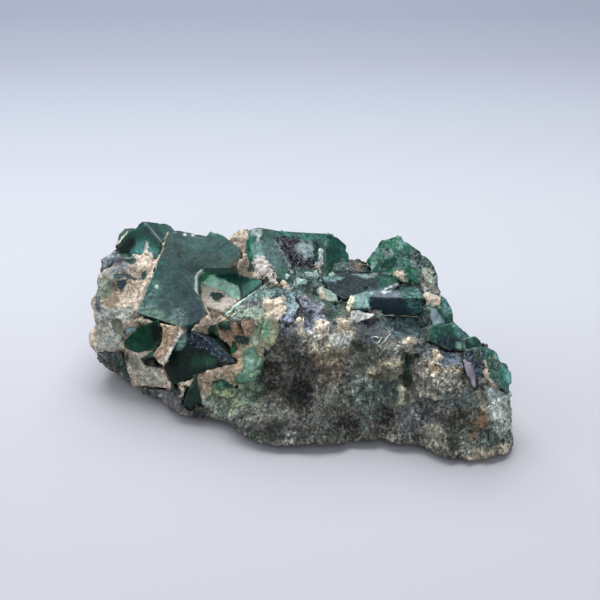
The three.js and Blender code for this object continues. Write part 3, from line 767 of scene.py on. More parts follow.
crystals = {
    "left_crystals": {
        "out": (-15, 55), "gap": (0.3, 1.6), "mesh": 0.7, "waves": 0.35, "base": "#33504d", "grain": 0.2,
        # the clay films on these crystals are painted lighter than on the others, painted light where the
        # step shades them
        "look": {"clay": ("#c8b8a2", "#f3eadb", "#ffffff")},
        "marks": areas({"reach": 2.0},
            # cube at the corner, its left face and its right face
            area("#255b4e", (143, 221), (163, 246), (153, 258), (143, 264), (132, 267), (117, 252),
                 (131, 229), reach=2.5),
            area("#051f1d", (131, 235), (121, 243), (116, 251), (127, 262), (134, 252), (138, 241), soft=2.5,
                 reach=2.5),
            # painted glow: the lower part of the left face lit mint, as if light came through the crystal
            area("#569592", (139, 241), (147, 243), (158, 252), (153, 258), (143, 256), (134, 266),
                 (127, 262), (133, 250), soft=3.5, reach=2.5),
            area("#153836", (144, 221), (157, 221), (168, 226), (170, 231), (164, 244), soft=0.6, reach=2.5),
            area("#205648", (157, 221), (168, 226), (170, 231), (166, 238), (160, 230), soft=1.5, reach=2.5),
            area("#364046", (146, 226), (152, 227), (160, 240), (157, 241), soft=1.5, strength=0.7,
                 reach=2.5),
            # thin corner beyond it
            area("#466c5c", (112, 232), (132, 225), (130, 232), (121, 240), (116, 252), (112, 250), soft=0.6,
                 reach=8.0, on=(122, 234)),
            # large slanted face, with a painted sheen along its top and a bluish painted sheen at its lower
            # right corner
            area("#385b5a", (172, 228), (205, 236), (238, 248), (236, 258), (200, 250), (170, 243), soft=4.0),
            area("#2e4c4e", (163, 262), (185, 258), (195, 270), (197, 290), (203, 306), (195, 318),
                 (175, 302), (165, 285), soft=5.0),
            area("#30434c", (189, 298), (203, 305), (206, 314), (202, 321), (190, 317), soft=3.0),
            area("#395d5d", (150, 281), (161, 287), (159, 300), (151, 313), (136, 312), (141, 294), soft=3.5,
                 grain=0.4),
            area("#5b766b", (136, 306), (150, 304), (168, 315), (186, 321), (183, 332), (160, 324),
                 (140, 315), soft=2.5, strength=0.8, grain=0.55),
            area("#17574f", (158, 257), (163, 262), (157, 280), (150, 290), (142, 291), (151, 276),
                 (155, 266), soft=1.2),
            area("#476861", (152, 282), (158, 280), (162, 286), (158, 295), (152, 293), soft=2.0),
            area("#5c7476", (171, 304), (184, 310), (188, 324), (182, 331), (172, 320), soft=2.0,
                 strength=0.6, grain=0.7),
            area("#44402a", (234, 259), (240, 260), (240, 271), (234, 270), soft=1.2),
            area("#6c8b81", (144, 221), (145, 221), (164, 244), (163, 244), soft=0.3, ragged=0.1,
                 facing=towardsCamera, reach=4.0),
            area("#7fa194", (167, 231), (168, 231), (164, 243), (163, 243), soft=0.3, ragged=0.1,
                 facing=towardsCamera, reach=4.0),
            area("#b5c6bb", (195, 276), (201, 269), (204, 271), (199, 278), (199, 288), (206, 301),
                 (203, 302), (195, 290), soft=0.5, strength=0.85, on=(194, 284)),
            area("#e3ece8", (183, 233), (186, 233), (186, 236), (183, 236), soft=0.4, ragged=0.1),
            area("#c6d6d0", (191, 234), (194, 234), (194, 237), (191, 236), soft=0.4, ragged=0.1),
            area("#cfe0d6", (155, 285), (158, 285), (158, 288), (155, 288), soft=0.4, ragged=0.1),
            area("#306659", (206, 236), (210, 230), (224, 235), (227, 242), (214, 239), soft=1.2,
                 strength=0.8),
            # the step cut into it: wall darkened as painted shade, floor painted pale mint as a painted glow
            # lighter than the overhang's shade leaves it, and left side
            area("#174f48", (205, 269), (236, 272), (264, 280), (248, 283), (236, 282), (226, 279),
                 (203, 275), soft=0.8, facing=(-15, 20), reach=3.0),
            area("#bff2de", (202, 275), (212, 276), (224, 280), (238, 286), (241, 299), (233, 299),
                 (223, 292), (208, 287), (201, 283), soft=0.8),
            area("#278a63", (200, 272), (204, 269), (207, 274), (204, 282), (202, 290), (198, 290), soft=0.5,
                 facing=(60, 20), reach=2.5, on=(201, 281)),
            area("#4b8777", (242, 284), (264, 279), (243, 299), soft=0.5, reach=4.0),
        ),
        "films": [
            area(None, (195, 291), (203, 285), (210, 286), (223, 292), (233, 299), (242, 300), (222, 313),
                 (213, 323), (206, 313), (200, 301), reach=2.0),
            area(None, (212, 292), (222, 292), (225, 297), (217, 302), (211, 299), reach=3.0, hole=True),
            area(None, (146, 242), (149, 250), (154, 258), (143, 266), (136, 266), (143, 255), reach=3.0),
            area(None, (129, 231), (131, 233), (121, 244), (117, 250), (117, 243), (124, 235), reach=8.0,
                 on=(122, 236)),
        ],
    },
    "plate_crystal": {
        "out": (-35, 62), "gap": (-1.0, 0.1), "mesh": 0.65, "worn": 2, "waves": 1.2, "rough": 1.6,
        "base": "#737f79", "grain": 0.7, "sides": "#5d6160",
        "look": {"cloudSize": 3.0, "roughness": 0.4, "clearness": 0.1, "specks": 0.6},
        "marks": areas({"soft": 2.0},
            area("#586f6c", (262, 286), (278, 288), (286, 296), (262, 300), (243, 305), (236, 306)),
            area("#5c5c61", (246, 300), (262, 300), (262, 309), (246, 309)),
            area("#758c8e", (284, 291), (298, 296), (298, 310), (290, 312), (283, 301), grain=0.8),
            area("#3d5558", (274, 286), (288, 288), (291, 301), (276, 300)),
            area("#717c8e", (276, 314), (298, 308), (304, 320), (296, 332), (276, 332), soft=2.5, grain=1.0),
            area("#064128", (226, 309), (234, 308), (237, 314), (230, 318), soft=0.8, grain=0.2),
            area("#7f8f83", (250, 312), (268, 316), (270, 330), (240, 326), (236, 316)),
            area("#bfd7c5", (262, 285), (262, 288), (242, 302), (222, 315), (212, 325), (213, 321),
                 (240, 300), soft=0.8, grain=0.2),
        ),
        "films": [
            area(None, (263, 299), (273, 302), (282, 301), (285, 312), (278, 318), (266, 315), reach=4.0),
            area(None, (222, 317), (228, 316), (226, 320), (218, 324), reach=4.0),
        ],
    },
    "dark_crystal": {
        "out": (-33, 30), "gap": (0.1, 0.9), "mesh": 0.6, "waves": 0.3, "base": "#08201b", "grain": 0.25,
        "look": {"roughness": 0.2, "gloss": 0.2, "clearness": 0.4, "specks": 0.22},
        "marks": [
            area("#1f2c37", (188, 329), (200, 330), (222, 352), (231, 364), (222, 362), (206, 350),
                 (190, 346), soft=1.5, grain=0.9),
            area("#789c96", (180, 333), (187, 334), (186, 344), (181, 350), (176, 350), soft=1.2, grain=0.6),
            area("#143b2e", (196, 354), (212, 358), (208, 366), (198, 370), (190, 364), soft=3.0),
            area("#385e4c", (206, 358), (216, 361), (214, 366), (206, 366), soft=2.5, strength=0.7),
            area("#0a291e", (166, 370), (176, 378), (186, 381), (178, 386), soft=2.0),
        ],
    },
    "window_crystal": {
        "out": (-25, 25), "gap": (0.2, 0.8), "mesh": 0.6, "waves": 0.2, "base": "#07402b", "grain": 0.05,
        "look": {"roughness": 0.14, "gloss": 0.4, "clearness": 0.4},
        "marks": [
            area("#021912", (152, 322), (160, 324), (163, 337), (156, 344), (150, 334), soft=2.5),
            area("#1a4c3c", (128, 341), (140, 343), (146, 349), (134, 352), (126, 346), soft=2.0),
        ],
    },
    "wedge_crystal": {"out": (10, 10), "gap": (0.2, 1.0), "mesh": 0.7, "waves": 0.2, "base": "#17332b"},
    "back_crystals": {
        "out": (-10, 40), "gap": (0.4, 1.5), "mesh": 0.65, "waves": 0.5, "ragged": 0.8, "base": "#46695f",
        "grain": 0.25,
        "look": {"clay": ("#b5a69a", "#e4dad3", "#ffffff")},
        "marks": [
            area("#359f84", (244, 232), (252, 232), (254, 250), (248, 262), (243, 252), soft=2.0),
            area("#5e7d7d", (256, 241), (272, 240), (286, 262), (276, 268), (258, 258), soft=3.0, grain=0.3),
            area("#85ada6", (250, 244), (260, 243), (264, 258), (256, 260), soft=2.0),
            area("#acbcc0", (248, 228), (262, 228), (262, 234), (250, 236), soft=1.2, strength=0.8,
                 grain=0.6),
            area("#eaf8f6", (257, 232), (261, 233), (259, 243), (256, 243), soft=0.8),
            area("#3c3844", (272, 237), (300, 236), (314, 242), (316, 270), (298, 277), (292, 272),
                 (281, 255), soft=0.8, grain=1.0),
            area("#b3cace", (296, 247), (304, 241), (312, 244), (313, 256), (304, 259), soft=3.0, grain=0.25),
            area("#467d71", (272, 231), (330, 233), (345, 240), (330, 247), (314, 241), (280, 236), soft=1.0,
                 grain=0.6),
            area("#254645", (313, 240), (319, 242), (320, 262), (314, 266), soft=1.0, grain=0.7),
            area("#28564f", (330, 233), (348, 245), (350, 266), (338, 269), (328, 272), (326, 250), soft=1.0,
                 grain=0.3),
            area("#3c796b", (340, 246), (348, 248), (349, 264), (343, 264), soft=1.2),
            area("#6b8285", (271, 238), (274, 238), (294, 271), (292, 273), soft=0.6, strength=0.7),
        ],
        "films": [
            area(None, (253, 262), (262, 261), (273, 270), (272, 282), (270, 291), (265, 297), (261, 288),
                 (258, 275), reach=6.0),
            area(None, (227, 230), (247, 228), (246, 238), (241, 247), (247, 256), (246, 268), (240, 271),
                 (237, 256), (240, 248)),
            area(None, (316, 262), (321, 263), (320, 274), (316, 274), reach=8.0),
        ],
    },
    "peak_crystals": {
        "out": (5, 38), "gap": (0.0, 1.2), "mesh": 0.65, "waves": 0.9, "chips": 1.2, "base": "#39765f",
        "grain": 0.5, "look": {"specks": 0.6},
        "marks": [
            area("#709b93", (398, 236), (404, 244), (402, 256), (396, 246), soft=1.5),
            area("#8ba097", (382, 249), (392, 251), (397, 262), (394, 263), (389, 254), (382, 252), soft=0.6,
                 grain=0.6),
            area("#8ba39a", (393, 262), (405, 275), (403, 277), (391, 265), soft=0.6, grain=0.6),
            area("#97b6ab", (369, 262), (377, 255), (378, 257), (371, 264), soft=0.5),
            area("#5d8e80", (369, 248), (378, 244), (384, 256), (380, 266), (368, 268), soft=1.5, grain=0.4),
            area("#127145", (364, 258), (370, 257), (371, 268), (366, 269), soft=0.8),
            area("#718782", (382, 249), (391, 249), (396, 258), (386, 260), soft=1.6, grain=0.7),
            area("#4a8173", (384, 258), (394, 260), (396, 268), (386, 268), soft=1.6, grain=0.6),
            area("#1d4d42", (376, 263), (390, 259), (392, 268), (388, 273), (369, 273), soft=0.7),
            area("#9fcbc3", (372, 262), (377, 262), (372, 273), (368, 273), soft=0.7),
            area("#4b756d", (396, 250), (406, 252), (408, 270), (398, 268), soft=1.6, grain=0.6),
            area("#465e5a", (408, 246), (424, 250), (436, 266), (438, 290), (420, 288), (412, 262), soft=1.2,
                 grain=1.0),
            area("#a3b0a4", (423, 268), (434, 270), (435, 284), (426, 284), soft=1.8, grain=0.9),
            area("#879798", (410, 258), (415, 260), (416, 268), (411, 266), soft=1.0, grain=0.6),
            area("#336757", (407, 273), (415, 272), (418, 281), (410, 280), soft=1.0, grain=0.5),
        ],
        "films": [
            area(None, (392, 273), (398, 270), (404, 273), (407, 279), (402, 281), (396, 278)),
            area(None, (424, 272), (428, 270), (429, 280), (425, 280), reach=4.0),
        ],
    },
    "ridge_crystals": {
        "out": (0, 50), "gap": (-0.4, 0.8), "mesh": 0.65, "waves": 0.6, "chips": 1.1, "base": "#26343a",
        "grain": 0.4, "look": {"roughness": 0.45, "gloss": 0.25, "specks": 0.25},
        "marks": [
            area("#7e9da0", (319, 274), (331, 274), (343, 275), (333, 280), (320, 281), soft=1.5, grain=0.7),
            area("#78918e", (352, 274), (363, 274), (378, 273), (378, 277), (364, 278), soft=1.0, grain=0.5),
            area("#255348", (376, 276), (396, 275), (400, 283), (392, 287), (378, 290), soft=1.5,
                 facing=towardsCamera, reach=9.0),
            area("#9fc6c4", (352, 296), (368, 290), (369, 308), (354, 309), soft=0.8, grain=0.25),
            # the lower cube's top in a grey painted sheen, with a pale painted highlight along it
            area("#5e6c76", (371, 291), (392, 287), (402, 290), (406, 296), (396, 299), (372, 299), soft=2.5,
                 grain=0.4, facing=towardsCamera, reach=9.0),
            area("#d8e6ec", (380, 292), (390, 286), (398, 283), (400, 285), (392, 290), (384, 294), soft=0.8,
                 grain=0.5, facing=towardsCamera, reach=9.0),
            area("#345652", (400, 284), (420, 288), (427, 314), (408, 312), (402, 296), soft=2.0, grain=0.7,
                 facing=towardsCamera, reach=9.0),
            area("#273d4b", (368, 301), (403, 300), (415, 314), (374, 315), soft=1.2, grain=0.25),
            area("#3a6563", (406, 301), (424, 302), (426, 315), (414, 315), soft=2.0, grain=0.7),
        ],
        "films": [
            area(None, (316, 280), (321, 281), (324, 296), (318, 299)),
        ],
    },
    "corner_crystal": {
        "out": (-20, 55), "gap": (-0.3, 0.6), "mesh": 0.6, "waves": 0.5, "rough": 0.9, "base": "#4a6a60",
        "grain": 0.5,
        "marks": [area("#91a599", (326, 291), (337, 291), (338, 301), (328, 302), grain=0.3)],
        "films": [area(None, (317, 288), (322, 287), (327, 300), (320, 299))],
    },
    "shoulder_crystals": {
        "out": (25, 42), "gap": (0.1, 1.0), "mesh": 0.65, "worn": 3, "waves": 0.8, "chips": 1.0,
        "base": "#2e5c4f", "grain": 0.35, "sides": "#4b504d",
        "marks": [
            area("#628e8a", (438, 295), (450, 300), (455, 314), (444, 316), soft=2.0, grain=0.5),
            area("#9bb0b9", (430, 307), (436, 309), (444, 322), (433, 326), soft=0.8, grain=0.15),
            # darker across the middle of the slope as painted shade, and greener along its top edge as a
            # painted highlight
            area("#21383e", (440, 336), (450, 334), (460, 338), (466, 352), (452, 352), (436, 344), soft=2.5,
                 grain=0.4),
            area("#69a09d", (452, 320), (466, 336), (470, 346), (456, 334), soft=2.0),
            area("#92c6b7", (456, 342), (461, 342), (462, 348), (456, 348), soft=1.0),
        ],
        "films": [
            area(None, (413, 283), (432, 295), (438, 299), (430, 306), (418, 292)),
        ],
    },
    "end_crystals": {
        "out": (30, 30), "gap": (0.5, 1.5), "mesh": 0.65, "waves": 0.8, "chips": 1.0, "base": "#44776a",
        "grain": 0.35, "sides": "#4b504d",
        "marks": areas({"soft": 1.5},
            area("#394856", (458, 350), (482, 350), (486, 396), (470, 390), grain=0.8),
            area("#59b0a1", (492, 350), (500, 352), (502, 362), (494, 362)),
            area("#1f6e62", (496, 368), (502, 372), (500, 388), (494, 380)),
            area("#6ba79e", (502, 364), (511, 370), (511, 388), (504, 380), grain=0.5),
        ),
        "films": [
            area(None, (484, 360), (488, 372), (495, 384), (496, 400), (488, 390), (483, 372), reach=6.0),
        ],
    },
    "rear_left_crystals": {"out": (180, 20), "gap": (-0.4, 1.2), "mesh": 0.8, "waves": 0.9, "chips": 1.5,
                           "base": "#45635a", "grain": 0.6, "sides": "#4b504d"},
    "rear_right_crystals": {"out": (175, 30), "gap": (-0.4, 1.2), "mesh": 0.8, "waves": 0.9, "chips": 1.5,
                            "base": "#3e5d54", "grain": 0.5, "sides": "#4b504d"},
}
grown = []
for nodeName, shape in crystals.items():
    piece = crystalPiece(nodeName, shape)
    grown.append((piece, shape["out"], shape["gap"]))
    look = dict(fluoriteLook, **shape.get("look", {}))
    material = greenFluorite("green fluorite " + nodeName.replace("_", " "), look)
    finishPiece(piece, material, nodeName)
    print(nodeName, len(piece.data.polygons))


clayLook = {"blotchSize": 4.5, "crumbSize": 1.5, "bend": 1.5, "flakeSize": 0.8, "rust": 0.6, "pits": 0.8}
clayShape = {
    "voxel": 0.65, "grow": 0.3, "bank": 5.0, "wander": 1.1, "slow": 6.0, "quick": 2.5, "ragged": 0.5,
    "lumps": 0.9, "grain": 0.8, "base": "#cdc1b1", "windowBase": "#123a2c",
    "marks": areas({"facing": towardsCamera, "reach": 8.0, "soft": 2.0},
        area("#b2a79a", (100, 285), (118, 283), (122, 300), (112, 312), (98, 308), soft=5.0),
        area("#968b78", (101, 288), (116, 284), (119, 300), (114, 310), (103, 308), soft=3.0, ragged=1.5),
        area("#a3aaa4", (92, 322), (106, 318), (124, 326), (120, 350), (96, 352), soft=3.0),
        area("#828a91", (99, 266), (104, 250), (116, 246), (127, 258), (124, 268), (112, 277), (101, 276)),
        area("#59636a", (107, 256), (122, 254), (127, 260), (118, 265), (107, 266), on=(124, 266)),
        area("#adb2b5", (112, 263), (124, 268), (118, 276), (104, 279), (106, 272)),
        area("#7c8b7e", (93, 276), (112, 274), (118, 286), (108, 300), (92, 300), soft=4.0),
        area("#a1aba6", (94, 304), (114, 309), (135, 306), (137, 318), (116, 322), (94, 320), soft=2.5),
        area("#ccd2c9", (95, 327), (117, 317), (131, 310), (134, 314), (119, 322), (97, 333), soft=1.2),
        area("#e0d9c2", (134, 316), (155, 319), (143, 325), (134, 323), soft=1.0),
        area("#c4c3b2", (162, 324), (184, 328), (164, 366), (152, 352), soft=1.0),
        area("#b9b8aa", (125, 354), (160, 366), (164, 384), (148, 388), (126, 372)),
        area("#809482", (131, 356), (139, 358), (138, 368), (131, 366)),
        # painted light: this clay is coloured lighter than it is, to make up for the plate's shade over it
        area("#c3a993", (228, 312), (252, 308), (260, 342), (250, 366), (232, 372), (216, 345), (218, 330),
             soft=3.0),
        area("#b5a691", (196, 374), (229, 366), (245, 370), (232, 382), (212, 382), (211, 398), (200, 398)),
        area("#d0d0bd", (202, 392), (214, 394), (212, 408), (204, 406)),
        area("#8b9078", (238, 344), (262, 342), (264, 372), (246, 390), (232, 384), (240, 366), soft=2.5),
        area("#3f4946", (113, 352), (124, 349), (132, 353), (131, 363), (121, 363), soft=1.5),
        area("#5c6f6c", (122, 330), (131, 330), (128, 343), (121, 341), soft=1.5),
    ),
    "windows": areas({"facing": towardsCamera, "reach": 8.0},
        area("#4e5c65", (94, 299), (99, 297), (101, 309), (96, 312), ragged=0.8),
        area("#356d5e", (247, 240), (252, 240), (253, 256), (252, 270), (248, 272), (247, 258)),
        area("#37594a", (212, 327), (230, 317), (231, 329), (221, 330), ragged=0.25),
        area("#3a5b4b", (210, 326), (218, 324), (221, 340), (220, 348), (214, 345), (209, 334), ragged=0.25),
        area("#36544e", (231, 336), (249, 336), (249, 345), (237, 343), ragged=0.25),
        area("#185d3d", (229, 352), (231, 343), (236, 342), (238, 350), (231, 356)),
        area("#608574", (243, 351), (252, 348), (258, 354), (260, 363), (252, 372), (252, 380), (238, 383),
             (234, 380), (238, 374), (244, 368), (243, 360)),
        area("#527e63", (234, 380), (240, 373), (254, 370), (252, 381), (238, 385), soft=1.5, strength=0.8),
        area("#36634e", (213, 382), (223, 378), (233, 386), (230, 395), (222, 400), (212, 394)),
        area("#8c986f", (212, 386), (216, 391), (229, 389), (230, 400), (218, 402), soft=2.5),
        area("#8a9c86", (253, 315), (268, 320), (270, 330), (262, 336), (256, 350), (250, 340), (254, 326),
             soft=2.0),
        area("#4cbba3", (256, 322), (262, 322), (262, 332), (257, 330), soft=1.5),
        area("#31665d", (141, 271), (146, 271), (146, 279), (141, 279)),
        area("#4b6968", (113, 275), (125, 273), (137, 278), (136, 281), (124, 277), (114, 278)),
        area("#2f4658", (117, 280), (128, 280), (124, 288), (123, 294), (119, 288)),
        area("#326451", (142, 357), (155, 350), (160, 358), (151, 363), ragged=0.25),
        area("#090d0c", (140, 358), (159, 356), (165, 362), (163, 369), (145, 365), ragged=0.25),
        area("#687060", (111, 320), (116, 318), (122, 322), (121, 334), (112, 330)),
        area("#93b8bf", (125, 329), (136, 327), (137, 330), (126, 336)),
        area("#173f39", (117, 252), (131, 252), (138, 262), (131, 265), (122, 257), ragged=0.3),
        area("#1d2621", (171, 382), (180, 384), (182, 395), (176, 397), (171, 389), ragged=0.4),
        area("#3f6351", (253, 357), (262, 357), (265, 372), (255, 376), soft=1.5),
    ),
}
clay = copyOfNode("clay", "clayFilling")
applyModifier(clay, "REMESH", mode="VOXEL", voxel_size=clayShape["voxel"] * mm)
applyModifier(clay, "DISPLACE", strength=clayShape["grow"] * mm, mid_level=0.0)
bankAgainst(clay, grown, clayShape["bank"])
applyModifier(clay, "SMOOTH", factor=0.5, iterations=1)
drift = wander(pointsOf(clay), clayShape["slow"]) + wander(pointsOf(clay), clayShape["quick"]) * 0.5
movePoints(clay, pointsOf(clay) + drift * clayShape["wander"])
roughen(clay, "clay lumps", clayShape["lumps"])
roughen(clay, "clay grain", clayShape["grain"])
movePoints(clay, pointsOf(clay))
ground = groundOf(clay, clayShape["ragged"])
makeActive(clay)
bpy.ops.object.shade_smooth()
setColours(clay, "tint", tintFrom(ground, clayShape["base"], clayShape["marks"]))
setColours(clay, "coverTint", tintFrom(ground, clayShape["windowBase"], clayShape["windows"]))
setValues(clay, "cover", coverFrom(ground, clayShape["windows"]))
clayMaterial = creamClay("dried cream clay", clayLook)
finishPiece(clay, clayMaterial, "clay")
print("clay", len(clay.data.polygons))


